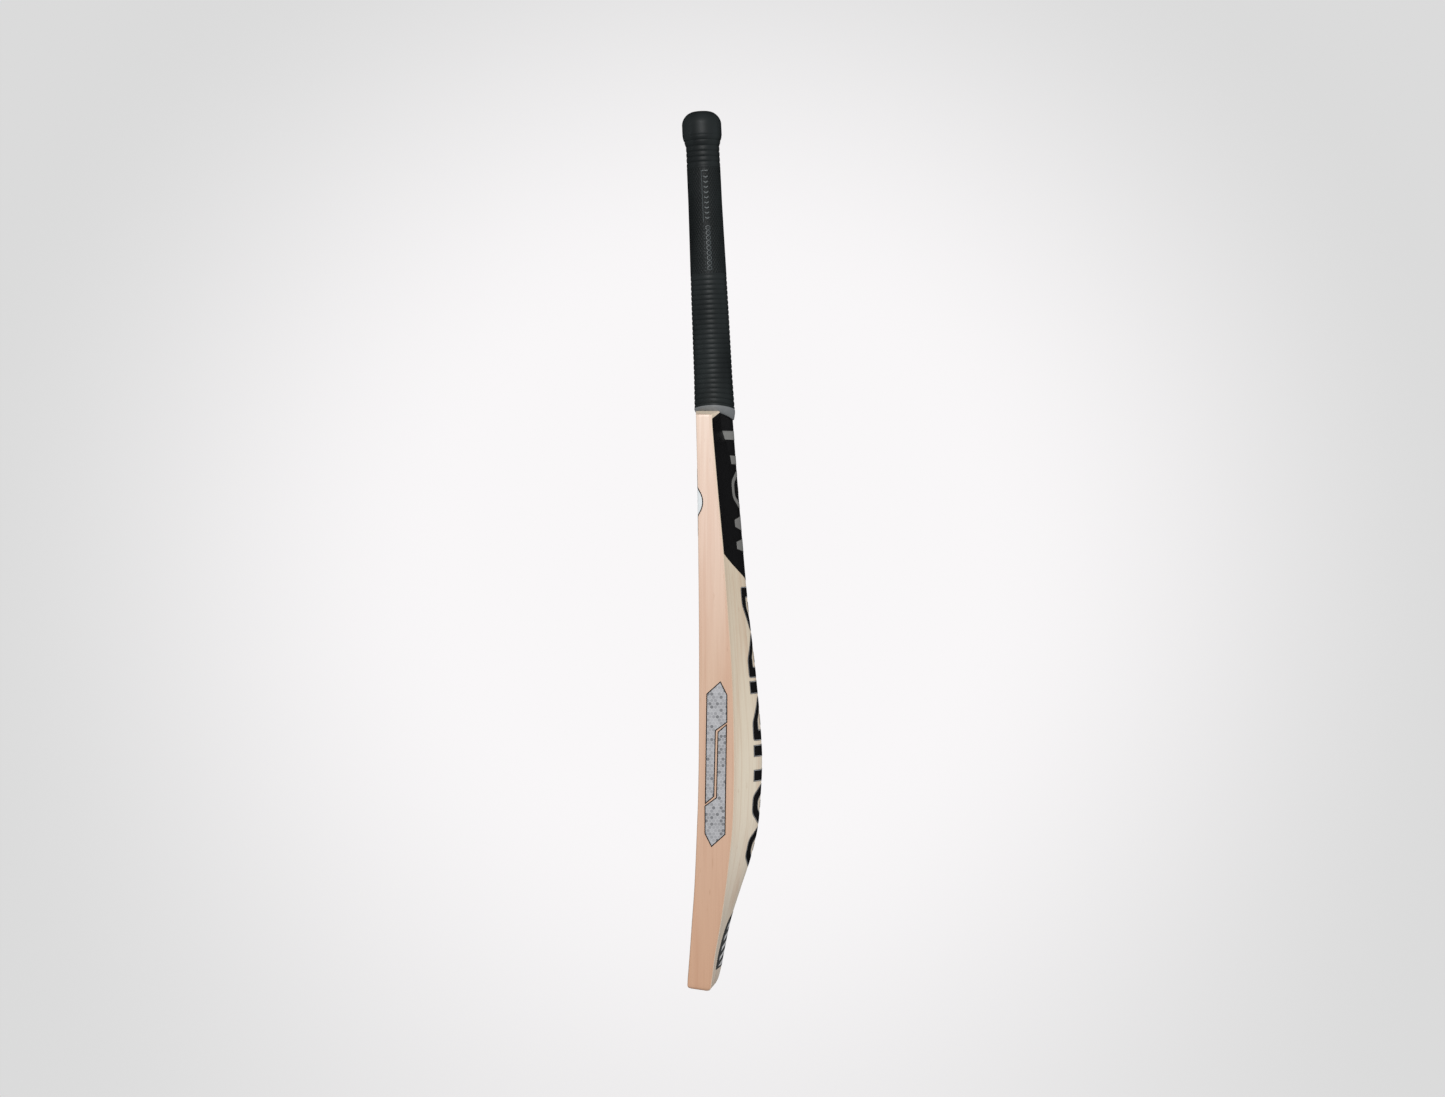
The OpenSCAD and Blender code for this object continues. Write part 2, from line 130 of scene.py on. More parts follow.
def station_slope(column, i):
    below, above = STATIONS[max(0, i - 1)], STATIONS[min(len(STATIONS) - 1, i + 1)]
    return (above[column] - below[column]) / (above[0] - below[0])


def profile(column, z):
    """A smooth curve through one column of the stations."""
    i = min(max(bisect_right(HEIGHTS, z) - 1, 0), len(STATIONS) - 2)
    low, high = STATIONS[i], STATIONS[i + 1]
    step = high[0] - low[0]
    t = (z - low[0]) / step
    s = 1 - t
    ends = low[column] * s * s * (1 + 2 * t) + high[column] * t * t * (1 + 2 * s)
    slopes = station_slope(column, i) * s * s * t - station_slope(column, i + 1) * t * t * s
    return ends + slopes * step


def face_y(x, z):
    return profile(FACE, z) + FACE_CROWN * (x / HALF_W) ** 2


def back_y(x, z):
    """The back of the blade: a ridge along the spine, which turns into the round neck at the shoulders."""
    neck = ease((z - NECK_FROM_Z) / (NECK_TO_Z - NECK_FROM_Z))
    neck_shape = max(max(0, 1 - (x / NECK_HALF_W) ** 2) ** NECK_POWER, NECK_FLANK * (1 - abs(x) / HALF_W))
    flat = math.hypot(1, SPINE_ROUND)
    ridge = (flat - math.hypot(x / HALF_W, SPINE_ROUND)) / (flat - SPINE_ROUND)
    shape = neck * neck_shape + (1 - neck) * max(0, ridge) ** RIDGE_POWER
    low = profile(CORNER, z)
    return low + (profile(SPINE, z) - low) * shape


def lifted(x, z):
    """Height of a point of a level, which the rising shoulders lift near the top of the blade."""
    share = max(0, (z - LIFT_FROM_Z) / (SHOULDER_Z - LIFT_FROM_Z))
    return z + SHOULDER_SLOPE * (HALF_W - max(abs(x), NECK_HALF_W)) * share


# How finely the outline and the levels are cut
COLUMNS = 54
CORNER_STEPS = 7
EDGE_STEPS = 5
BACK_CORNER_STEPS = 5
TOE_STEPS = 8
BODY_STEP = 2.8


def half_outline(z):
    """Right-hand half of the blade's outline at one level, from the middle of the face round to the spine."""
    top = lifted(HALF_W, z)
    centre_y = face_y(FACE_FLAT_W, top) + FRONT_CORNER_R
    edge_end = profile(CORNER, top) - BACK_CORNER
    corner_rise = back_y(BACK_FLAT_W, top) - edge_end
    points = []
    for k in range(COLUMNS + 1):
        x = FACE_FLAT_W * k / COLUMNS
        points.append((x, face_y(x, lifted(x, z)), lifted(x, z)))
    for k in range(1, CORNER_STEPS + 1):
        a = math.pi / 2 * k / CORNER_STEPS
        x = FACE_FLAT_W + FRONT_CORNER_R * math.sin(a)
        points.append((x, centre_y - FRONT_CORNER_R * math.cos(a), top))
    for k in range(1, EDGE_STEPS + 1):
        points.append((HALF_W, centre_y + (edge_end - centre_y) * k / EDGE_STEPS, top))
    for k in range(1, BACK_CORNER_STEPS):
        a = math.pi / 2 * k / BACK_CORNER_STEPS
        points.append((BACK_FLAT_W + BACK_CORNER * math.cos(a), edge_end + corner_rise * math.sin(a), top))
    for k in range(COLUMNS, -1, -1):
        x = BACK_FLAT_W * k / COLUMNS
        points.append((x, back_y(x, lifted(x, z)), lifted(x, z)))
    return points


def blade_level(z):
    """The whole outline at one level, drawn in round the toe and the shoulders and sloped at the toe."""
    half = half_outline(z)
    outline = half + [(-x, y, up) for x, y, up in half[-2:0:-1]]
    middle_y = (profile(FACE, z) + profile(CORNER, z)) / 2
    half_depth = (profile(CORNER, z) - profile(FACE, z)) / 2
    inset = 0
    if z < TOE_R:
        inset = TOE_R - math.sqrt(TOE_R ** 2 - (TOE_R - z) ** 2)
    elif z > SHOULDER_Z - TOP_RIM:
        inset = TOP_RIM - math.sqrt(TOP_RIM ** 2 - (z - SHOULDER_Z + TOP_RIM) ** 2)
    fade = max(0, 1 - z / TOE_FADE_Z) ** 2
    made = []
    for x, y, up in outline:
        y = middle_y + (y - middle_y) * (1 - inset / half_depth)
        made.append((x * (1 - inset / HALF_W), y, up - TOE_SLOPE * y * fade))
    return made


def blade_levels():
    turns = [math.pi / 2 * k / TOE_STEPS for k in range(TOE_STEPS + 1)]
    toe = [TOE_R * (1 - math.cos(a)) for a in turns]
    count = int((SHOULDER_Z - TOP_RIM - TOE_R) / BODY_STEP)
    body = [TOE_R + BODY_STEP * k for k in range(1, count + 1)]
    rim = [SHOULDER_Z - TOP_RIM + TOP_RIM * math.sin(a) for a in turns[::2]]
    return toe + body + rim


# ---------------------------------------------------------------- meshes

def link(name, mesh, materials, smooth_angle=40):
    """A new object of that mesh, smooth up to an angle, with its materials in order."""
    for material in materials:
        mesh.materials.append(material)
    mesh.shade_smooth()
    mesh.set_sharp_from_angle(angle=math.radians(smooth_angle))
    made = bpy.data.objects.new(name, mesh)
    bpy.context.scene.collection.objects.link(made)
    return made


def solid(name, points, faces, materials, smooth_angle=40):
    """A closed mesh from points in millimetres, with its faces turned outward."""
    mesh = bpy.data.meshes.new(name)
    mesh.from_pydata([[c * MM for c in p] for p in points], [], faces)
    bm = bmesh.new()
    bm.from_mesh(mesh)
    bmesh.ops.recalc_face_normals(bm, faces=bm.faces)
    bm.to_mesh(mesh)
    bm.free()
    return link(name, mesh, materials, smooth_angle)


def band_faces(rows, columns, close=False):
    """Quads between closed rings that follow each other; close joins the last ring to the first."""
    made = []
    for i in range(rows if close else rows - 1):
        for j in range(columns):
            k = (j + 1) % columns
            low, high = i * columns, (i + 1) % rows * columns
            made.append((low + j, low + k, high + k, high + j))
    return made


def stands_for(made, slot, *nodes):
    """The piece rides on the bat's one body and stands for these CAD nodes; slot is not used."""
    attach(made, "root")
    if nodes:
        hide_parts(*nodes)
    return made


# ---------------------------------------------------------------- nodes of materials

def paint(red, green, blue):
    """A colour as it shows on a screen, from 0 to 255, as the shader's linear colour."""
    return (*[((c / 255 + 0.055) / 1.055) ** 2.4 for c in (red, green, blue)], 1)


class Shader:
    """A new material: a Principled shader with constant sockets, and nodes that are linked into it."""

    def __init__(self, name, **sockets):
        self.material = bpy.data.materials.new(name)
        self.material.use_nodes = True
        self.tree = self.material.node_tree
        self.principled = self.tree.nodes["Principled BSDF"]
        for key, value in sockets.items():
            self.principled.inputs[key.replace("_", " ")].default_value = value

    def add(self, kind, inputs=None, **settings):
        node = self.tree.nodes.new("ShaderNode" + kind)
        for key, value in settings.items():
            setattr(node, key, value)
        for key, value in (inputs or {}).items():
            self.feed(node.inputs[key], value)
        return node

    def feed(self, socket, value):
        if isinstance(value, bpy.types.NodeSocket):
            self.tree.links.new(value, socket)
        else:
            socket.default_value = value

    def set(self, **sockets):
        for key, value in sockets.items():
            self.feed(self.principled.inputs[key.replace("_", " ")], value)

    def math(self, operation, *values):
        return self.add("Math", dict(enumerate(values)), operation=operation).outputs[0]

    def vector(self, operation, *values):
        return self.add("VectorMath", dict(enumerate(values)), operation=operation).outputs[0]

    def place(self, scale=(1, 1, 1)):
        """Places on the object, in metres, stretched by a scale."""
        here = self.add("TexCoord").outputs["Object"]
        return self.vector("MULTIPLY", here, scale)

    def noise(self, where, scale, detail=3, roughness=0.5):
        inputs = {"Vector": where, "Scale": scale, "Detail": detail, "Roughness": roughness}
        return self.add("TexNoise", inputs).outputs["Fac"]

    def ramp(self, factor, *stops, interpolation="LINEAR"):
        """Colours by a factor; each stop is its place and its colour."""
        node = self.add("ValToRGB", {"Fac": factor})
        node.color_ramp.interpolation = interpolation
        elements = node.color_ramp.elements
        while len(elements) < len(stops):
            elements.new(0.5)
        for element, (place, colour) in zip(elements, stops):
            element.position = place
            element.color = colour
        return node.outputs["Color"]

    def between(self, factor, a, b, blend="MIX"):
        """One colour mixed into another by a factor."""
        node = self.add("Mix", data_type="RGBA", blend_type=blend)
        for key, value in ((0, factor), (6, a), (7, b)):
            self.feed(node.inputs[key], value)
        return node.outputs[2]

    def spread(self, value, low, high, to_low=0, to_high=1, smooth=False):
        """A value stretched from one range to another, and kept inside it."""
        inputs = {"Value": value, "From Min": low, "From Max": high, "To Min": to_low, "To Max": to_high}
        kind = "SMOOTHSTEP" if smooth else "LINEAR"
        return self.add("MapRange", inputs, interpolation_type=kind).outputs["Result"]

    def bump(self, height, distance, strength=1):
        inputs = {"Height": height, "Distance": distance, "Strength": strength}
        self.set(Normal=self.add("Bump", inputs).outputs["Normal"])

    def hexagons(self, where, size):
        """A honeycomb of cells of that size.

        Gives how far a point is from its cell's middle, up to 1 at the border, and a number for each cell.
        """
        half = (size / 2, size * math.sqrt(3) / 2, 0)
        high = (*half[:2], 1)
        low = tuple(-c for c in high)
        a = self.vector("WRAP", where, high, low)
        b = self.vector("WRAP", self.vector("ADD", where, half), high, low)
        nearer_a = self.math("LESS_THAN", self.length(a), self.length(b))
        mix = self.add("Mix", data_type="VECTOR")
        for key, value in ((0, nearer_a), (4, b), (5, a)):
            self.feed(mix.inputs[key], value)
        offset = mix.outputs[1]
        sides = {0: self.vector("ABSOLUTE", offset), 1: (0.5, math.sqrt(3) / 2, 0)}
        slant = self.add("VectorMath", sides, operation="DOT_PRODUCT").outputs["Value"]
        across = self.math("ABSOLUTE", self.add("SeparateXYZ", {0: offset}).outputs[0])
        border = self.math("DIVIDE", self.math("MAXIMUM", slant, across), size / 2)
        centre = self.vector("ADD", self.vector("SUBTRACT", where, offset), tuple(c / 2 for c in half))
        cell = self.vector("SNAP", centre, high)
        number = self.add("TexWhiteNoise", {"Vector": cell}, noise_dimensions="3D").outputs["Value"]
        return border, number

    def length(self, vector):
        return self.add("VectorMath", {0: vector}, operation="LENGTH").outputs["Value"]


# ---------------------------------------------------------------- wood

RING_PITCH = 0.0115


def willow():
    """Oiled willow: pinker, deeper-toned edges that grow darker and more orange towards the toe, a paler face
    and back, grain up the blade.
    """
    s = Shader("oiled_willow", Roughness=0.42, Coat_Weight=0.3, Coat_Roughness=0.28)
    where = s.add("SeparateXYZ", {0: s.place()})
    x, y, z = where.outputs
    drift = s.noise(s.place((8, 8, 3)), 1, 2)
    edge_colour = s.ramp(
        s.spread(s.math("ADD", z, s.math("MULTIPLY", drift, 0.05)), 0.02, 0.58),
        (0.0, paint(200, 159, 130)),
        (0.3, paint(206, 170, 145)),
        (0.55, paint(209, 177, 153)),
        (0.8, paint(222, 195, 177)),
        (1.0, paint(230, 208, 192)),
    )
    back_colour = s.ramp(
        s.spread(z, 0.0, 0.56),
        (0.0, paint(222, 209, 193)),
        (0.35, paint(224, 214, 195)),
        (0.7, paint(214, 200, 178)),
        (1.0, paint(232, 216, 194)),
    )
    front = s.math("MULTIPLY", s.math("LESS_THAN", y, 0.008), 0.0032)
    on_edge = s.spread(s.math("ADD", s.math("ABSOLUTE", x), front), 0.0522, 0.0536, smooth=True)
    base = s.between(on_edge, back_colour, edge_colour)
    # broad heartwood streaks that run up the blade, then the growth rings, then fine fibres
    streak = s.spread(s.noise(s.place((70, 90, 3.2)), 1, 3), 0.5, 0.72)
    streak_depth = s.math("MULTIPLY", streak, 0.30)
    base = s.between(streak_depth, base, s.between(1, base, paint(222, 178, 150), "MULTIPLY"))
    wander = s.math("MULTIPLY", s.noise(s.place((6, 6, 5)), 1, 2), 0.012)
    ring_place = s.math("ADD", s.math("ADD", x, s.math("MULTIPLY", y, 0.15)), wander)
    ring = s.math("FRACT", s.math("DIVIDE", ring_place, RING_PITCH))
    ring_line = s.math("SUBTRACT", 1, s.spread(s.math("ABSOLUTE", s.math("SUBTRACT", ring, 0.5)), 0.0, 0.12))
    off_edge = s.math("SUBTRACT", 1, on_edge)
    ring_depth = s.math("MULTIPLY", s.math("MULTIPLY", ring_line, off_edge), 0.16)
    base = s.between(ring_depth, base, paint(176, 140, 106))
    fibre = s.noise(s.place((900, 900, 14)), 1, 4, 0.6)
    fine = s.noise(s.place((2600, 2600, 60)), 1, 2)
    fibre_depth = s.spread(fibre, 0.45, 0.75, 0, 0.22)
    base = s.between(fibre_depth, base, s.between(1, base, paint(214, 190, 170), "MULTIPLY"))
    fleck = s.spread(s.noise(s.place((420, 420, 70)), 1, 1), 0.73, 0.8, 0, 0.3)
    base = s.between(fleck, base, paint(166, 122, 90))
    s.set(Base_Color=base, Roughness=s.spread(fibre, 0.3, 0.7, 0.36, 0.52))
    s.bump(s.math("ADD", fibre, s.math("MULTIPLY", fine, 0.5)), 0.00006, 0.6)
    return s.material


def cane():
    """Split cane: straight tight fibres, honey coloured, with dark pores."""
    s = Shader("split_cane", Roughness=0.45, Coat_Weight=0.15, Coat_Roughness=0.3)
    fibre = s.noise(s.place((1500, 1500, 25)), 1, 3, 0.6)
    pores = s.spread(s.noise(s.place((2400, 2400, 140)), 1, 1), 0.66, 0.72, 0, 0.5)
    tone = s.ramp(fibre, (0.3, paint(226, 204, 164)), (0.7, paint(205, 176, 128)))
    s.set(
        Base_Color=s.between(pores, tone, paint(140, 102, 62)),
        Roughness=s.spread(fibre, 0.3, 0.7, 0.38, 0.55),
    )
    s.bump(fibre, 0.00008, 0.6)
    return s.material


# ---------------------------------------------------------------- rubber, twine and tape

def speckled(name, dark, light, scale, roughness, depth):
    """A matte or satin material with a fine speckle in its colour, roughness and surface."""
    s = Shader(name)
    grain = s.noise(s.place(), scale, 4, 0.65)
    cloud = s.noise(s.place(), scale / 22, 2)
    tone = s.math("ADD", s.math("MULTIPLY", grain, 0.5), s.math("MULTIPLY", cloud, 0.5))
    s.set(
        Base_Color=s.ramp(tone, (0.3, dark), (0.7, light)),
        Roughness=s.spread(grain, 0.3, 0.7, roughness - 0.06, roughness + 0.08),
    )
    s.bump(grain, depth, 0.5)
    return s.material


# Sizes in metres: the grip's dimples and the stretch that has them, a turn of twine, a thread of tape
DIMPLE = 0.0027
DIMPLES_FROM, DIMPLES_TO = 0.1205, 0.2245
TWINE_PITCH = 0.0007
THREAD_PITCH = 0.0006


def grip_rubber():
    """Black moulded rubber, with a honeycomb of fine dimples between the two sets of ribs, painted darker
    inside as shade.
    """
    s = Shader("moulded_grip_rubber", Specular_IOR_Level=0.28)
    grain = s.noise(s.place(), 2600, 3, 0.6)
    cloud = s.noise(s.place((1, 1, 0.4)), 45, 2)
    unrolled = s.add("UVMap", uv_map="unrolled").outputs["UV"]
    up = s.add("SeparateXYZ", {0: unrolled}).outputs[1]
    border, _ = s.hexagons(unrolled, DIMPLE)
    inside = s.math("MULTIPLY", s.math("GREATER_THAN", up, DIMPLES_FROM), s.math("LESS_THAN", up, DIMPLES_TO))
    wall = s.math("MULTIPLY", s.spread(border, 0.55, 0.95, smooth=True), inside)
    tone = s.ramp(cloud, (0.3, paint(27, 31, 32)), (0.7, paint(37, 42, 43)))
    # painted shade: each dimple is darkened inside its hollow, where shade falls
    hollow = s.math("MULTIPLY", inside, s.math("SUBTRACT", 1, wall))
    tone = s.between(hollow, tone, s.between(1, tone, paint(205, 205, 205), "MULTIPLY"))
    s.set(Base_Color=tone, Roughness=s.spread(grain, 0.3, 0.7, 0.42, 0.56))
    s.bump(s.math("ADD", wall, s.math("MULTIPLY", grain, 0.15)), 0.00022, 0.8)
    return s.material


def waxed_twine():
    """Turns of waxed linen twine, laid side by side round the cane."""
    s = Shader("waxed_twine", Roughness=0.62, Sheen_Weight=0.2)
    z = s.add("SeparateXYZ", {0: s.place()}).outputs[2]
    turn = s.math("ABSOLUTE", s.math("SINE", s.math("MULTIPLY", z, math.pi / TWINE_PITCH)))
    strand = s.noise(s.place((3000, 3000, 900)), 1, 2)
    # painted shade: the twine is darker in the grooves between its turns and lighter on their tops
    tone = s.ramp(turn, (0.0, paint(146, 130, 104)), (0.6, paint(226, 218, 196)))
    s.set(Base_Color=s.between(s.math("MULTIPLY", strand, 0.3), tone, paint(186, 170, 140)))
    s.bump(s.math("ADD", turn, s.math("MULTIPLY", strand, 0.3)), 0.0003)
    return s.material


def cloth_tape():
    """White cloth tape with an over-and-under weave."""
    s = Shader("cloth_tape", Roughness=0.75, Sheen_Weight=0.25)
    x, y, z = s.add("SeparateXYZ", {0: s.place()}).outputs
    pitch = math.pi / THREAD_PITCH
    warp = s.math("SINE", s.math("MULTIPLY", s.math("ADD", x, y), pitch))
    weft = s.math("SINE", s.math("MULTIPLY", z, pitch))
    weave = s.math("MULTIPLY", warp, weft)
    # painted shade: the weave is darker where its threads dip and lighter where they rise
    s.set(Base_Color=s.ramp(s.spread(weave, -1, 1), (0.2, paint(206, 204, 196)), (0.8, paint(240, 239, 234))))
    s.bump(weave, 0.0001)
    return s.material


# ---------------------------------------------------------------- vinyl

VINYL_SHINE = 0.15
CELL = 0.0036
STRIPE_PITCH = 0.0088
STRIPE_SLANT = 0.26


def vinyl(name, colour, worn, roughness=0.3):
    """Printed vinyl: one colour with a faint mottle, an orange-peel surface and fine scuffs up the blade."""
    s = Shader(name, Specular_IOR_Level=VINYL_SHINE)
    mottle = s.noise(s.place(), 260, 3)
    peel = s.noise(s.place(), 1400, 2)
    scuff = s.spread(s.noise(s.place((900, 900, 50)), 1, 2), 0.66, 0.74, 0, 0.35)
    tone = s.between(s.spread(mottle, 0.35, 0.75, 0, 0.35), colour, worn)
    s.set(
        Base_Color=s.between(scuff, tone, worn),
        Roughness=s.spread(mottle, 0.3, 0.7, roughness - 0.05, roughness + 0.1),
    )
    s.bump(peel, 0.00003, 0.4)
    return s.material


def honeycomb_vinyl():
    """Silver vinyl printed with a honeycomb, some of its cells darker."""
    s = Shader("honeycomb_vinyl", Coat_Weight=0.2, Coat_Roughness=0.15, Metallic=0.15)
    _, y, z = s.add("SeparateXYZ", {0: s.place()}).outputs
    flat = s.add("CombineXYZ", {0: y, 1: z}).outputs[0]
    border, number = s.hexagons(flat, CELL)
    cells = s.ramp(
        number,
        (0.0, paint(128, 129, 133)),
        (0.16, paint(160, 161, 165)),
        (0.45, paint(170, 171, 175)),
        (0.75, paint(178, 179, 183)),
        interpolation="CONSTANT",
    )
    line = s.spread(border, 0.80, 0.93, smooth=True)
    cloud = s.spread(s.noise(s.place(), 160, 2), 0.4, 0.7, 0, 0.25)
    tone = s.between(line, cells, paint(194, 195, 198))
    s.set(
        Base_Color=s.between(cloud, tone, paint(158, 159, 163)),
        Roughness=s.spread(number, 0, 1, 0.26, 0.4),
    )
    s.bump(line, 0.00003, 0.5)
    return s.material


def striped_vinyl():
    """Dark vinyl with pale slanting stripes."""
    s = Shader("striped_vinyl", Specular_IOR_Level=VINYL_SHINE)
    x, _, z = s.add("SeparateXYZ", {0: s.place()}).outputs
    slant = s.math("ADD", z, s.math("MULTIPLY", s.math("ABSOLUTE", x), STRIPE_SLANT))
    stripe = s.math("FRACT", s.math("DIVIDE", slant, STRIPE_PITCH))
    pale = s.math("MULTIPLY", s.spread(stripe, 0.5, 0.56), s.spread(stripe, 0.99, 0.93))
    mottle = s.noise(s.place(), 300, 3)
    dark = s.between(mottle, paint(64, 66, 66), paint(84, 86, 86))
    s.set(
        Base_Color=s.between(pale, dark, paint(205, 206, 208)),
        Roughness=s.spread(mottle, 0.3, 0.7, 0.3, 0.42),
    )
    s.bump(mottle, 0.00003, 0.4)
    return s.material


WILLOW = willow()
CANE = cane()
GRIP_RUBBER = grip_rubber()
# painted highlight: the grip's raised shapes are a lighter copy of its black rubber, for the light they
# catch; they are a little glossier as well
GRIP_PAINTED_HIGHLIGHT = speckled("glossy_grip_rubber_painted_highlight", paint(58, 64, 66), paint(70, 77, 79), 1800, 0.36, 0.00003)
CUFF_RUBBER = speckled("cuff_rubber", paint(104, 107, 109), paint(116, 119, 121), 1500, 0.5, 0.00005)
INSERT_RUBBER = speckled("insert_rubber", paint(44, 42, 42), paint(60, 57, 56), 2000, 0.65, 0.00006)
TWINE = waxed_twine()
TAPE = cloth_tape()
BLACK = vinyl("black_vinyl", paint(22, 22, 23), paint(33, 33, 35))
GREY = vinyl("grey_vinyl", paint(118, 118, 116), paint(108, 108, 106))
KEYLINE = vinyl("silver_keyline_vinyl", paint(150, 152, 154), paint(176, 178, 180), 0.25)
WHITE = vinyl("white_vinyl", paint(212, 217, 219), paint(196, 201, 204))
DARK = vinyl("dark_vinyl", paint(70, 72, 72), paint(86, 88, 88))
HONEYCOMB = honeycomb_vinyl()
STRIPED = striped_vinyl()


# ---------------------------------------------------------------- the blade

def splice_cutter(widen_by):
    """The wedge of the splice right through the blade, with a gap round it."""
    reach, over = 100, 20
    widen = (SPLICE_TOP_W - SPLICE_TIP_W) / (SHOULDER_Z - SPLICE_TIP_Z)
    tip_w, top_w = SPLICE_TIP_W + widen_by, SPLICE_TOP_W + widen_by + widen * over
    low, high = SPLICE_TIP_Z - widen_by, SHOULDER_Z + over
    section = [(-tip_w, low), (tip_w, low), (top_w, high), (-top_w, high)]
    points = [(x, y, z) for y in (-reach, reach) for x, z in section]
    sides = [(k, (k + 1) % 4, 4 + (k + 1) % 4, 4 + k) for k in range(4)]
    return solid("splice_cutter", points, sides + [(0, 1, 2, 3), (4, 5, 6, 7)], [WILLOW])


def capped(rows, columns):
    """The two end faces of a blade loft, in strips from face to back."""
    half = columns // 2
    faces = []
    for base in (0, (rows - 1) * columns):
        for side in (1, -1):
            for k in range(COLUMNS):
                corners = (k, k + 1, half - k - 1, half - k)
                faces.append([base + side * c % columns for c in corners])
            faces.append([base + side * c % columns for c in range(COLUMNS, half - COLUMNS + 1)])
    return faces


def make_blade():
    rings = [blade_level(z) for z in blade_levels()]
    columns = len(rings[0])
    faces = band_faces(len(rings), columns) + capped(len(rings), columns)
    blade = solid("willow_blade", [p for ring in rings for p in ring], faces, [WILLOW])
    cutter = splice_cutter(GLUE_LINE)
    blade.data = sliced(blade, cutter, "DIFFERENCE")
    blade.data.set_sharp_from_angle(angle=math.radians(40))
    bpy.data.objects.remove(cutter)
    return stands_for(blade, "willow", "blade")


def sliced(piece, tool, operation):
    """A piece's mesh after an exact cut by a tool, which stays."""
    cut = piece.modifiers.new("cut", "BOOLEAN")
    cut.object = tool
    cut.operation = operation
    cut.solver = "EXACT"
    bpy.context.view_layer.update()
    mesh = bpy.data.meshes.new_from_object(piece.evaluated_get(bpy.context.evaluated_depsgraph_get()))
    piece.modifiers.clear()
    return mesh


# ---------------------------------------------------------------- the handle

def leaned(x, y, h):
    """A point of the handle's own frame, which leans towards the face."""
    return (
        x,
        HANDLE_Y + y * math.cos(LEAN) - h * math.sin(LEAN),
        HANDLE_Z + y * math.sin(LEAN) + h * math.cos(LEAN),
    )


def handle_point(r, angle, h):
    """A point by its distance from the handle's axis, its angle from +X and its height along the handle."""
    return leaned(r * math.cos(angle), r * math.sin(angle), h)


def saddle_height(saddle, angle, r):
    """Height along the handle at which a saddle's cut meets a sleeve of that radius."""
    cut_r, middle_y, top_z = saddle
    h = 0
    for _ in range(8):
        y, z = handle_point(r, angle, h)[1:]
        h += top_z - cut_r + math.sqrt(cut_r ** 2 - (y - middle_y) ** 2) - z
    return h


def along(column, h):
    """A radius of the handle at a height, straight between the turned shapes."""
    for low, high in zip(TURNED, TURNED[1:]):
        if h <= high[0]:
            return low[column] + (high[column] - low[column]) * (h - low[0]) / (high[0] - low[0])
    return TURNED[-1][column]


GRIP_FOOT_H = -8
FOOT_BLEND = 34
LOW_RIBS_TO = 119.2
LOW_RIB = 4.8
HIGH_RIBS_FROM, HIGH_RIBS_TO = 224.6, 255.8
HIGH_RIB = 5.2
RIB_DEPTH = 0.6
RIB_STEPS = 10
PLAIN_STEP, COLLAR_STEP = 2, 1.5
BORE_LEVELS = (CANE_LEN, 200, 100, 20, GRIP_FOOT_H)


def grip_radius(h):
    """The grip's outside with its collar, without the ribs."""
    collar = ease((h - COLLAR_FROM) / (COLLAR_TO - COLLAR_FROM))
    return along(2, h) * (1 - collar) + COLLAR_R * collar


def rib(h):
    """How far the surface drops between two ribs: nothing on a crest, most in the groove."""
    if h < LOW_RIBS_TO:
        t = (LOW_RIBS_TO - h) / LOW_RIB
    elif HIGH_RIBS_FROM < h < HIGH_RIBS_TO:
        t = (h - HIGH_RIBS_FROM) / HIGH_RIB
    else:
        return 0
    return RIB_DEPTH * (1 - math.sqrt(1 - (2 * (t % 1) - 1) ** 2))


def steps(low, high, step):
    count = max(1, round((high - low) / step))
    return [low + (high - low) * k / count for k in range(count)]


def grip_profile():
    """The closed section of the grip as radius and height: up the outside, over the dome, down the bore."""
    heights = steps(GRIP_FOOT_H, LOW_RIBS_TO, LOW_RIB / RIB_STEPS)
    heights += steps(LOW_RIBS_TO, HIGH_RIBS_FROM, PLAIN_STEP)
    heights += steps(HIGH_RIBS_FROM, HIGH_RIBS_TO, HIGH_RIB / RIB_STEPS)
    heights += steps(HIGH_RIBS_TO, GRIP_TOP - DOME_H, COLLAR_STEP)
    section = [(grip_radius(h) - rib(h), h) for h in heights]
    dome_steps, roundness, flatness = 22, 2.0, 0.58
    for k in range(dome_steps + 1):
        rise = math.sin(math.pi / 2 * k / dome_steps)
        spread = max(0, 1 - rise ** (1 / flatness)) ** (1 / roundness)
        section.append((HOLE_R + (COLLAR_R - HOLE_R) * spread, GRIP_TOP - DOME_H * (1 - rise)))
    section.append((HOLE_R, CANE_LEN))
    for h in BORE_LEVELS:
        section.append((along(1, h) + GRIP_BORE, h))
    return section


def footed(h, angle, r):
    """A height of the grip, bent near its foot to follow the saddle cut."""
    fade = 1 - ease((h - GRIP_FOOT_H) / FOOT_BLEND)
    if fade == 0:
        return h
    return h + (saddle_height(GRIP_FOOT, angle, r) - GRIP_FOOT_H) * fade


def unroll(mesh, section, turns, around):
    """A UV map in metres of the sleeve laid flat: round the handle, then up it."""
    layer = mesh.uv_layers.new(name="unrolled")
    for polygon in mesh.polygons:
        columns = [mesh.loops[i].vertex_index % turns for i in polygon.loop_indices]
        wraps = max(columns) - min(columns) > 1
        for i in polygon.loop_indices:
            row, column = divmod(mesh.loops[i].vertex_index, turns)
            if wraps and column == 0:
                column = turns
            layer.data[i].uv = (around * column / turns * MM, section[row][1] * MM)


def make_grip():
    turns = 144
    section = grip_profile()
    angles = [2 * math.pi * k / turns for k in range(turns)]
    points = [handle_point(r, a, footed(h, a, r)) for r, h in section for a in angles]
    grip = solid("handle_grip", points, band_faces(len(section), turns, close=True), [GRIP_RUBBER], 60)
    middle_r = 17
    unroll(grip.data, section, turns, 2 * math.pi * middle_r)
    return stands_for(grip, "grip_rubber", "grip")


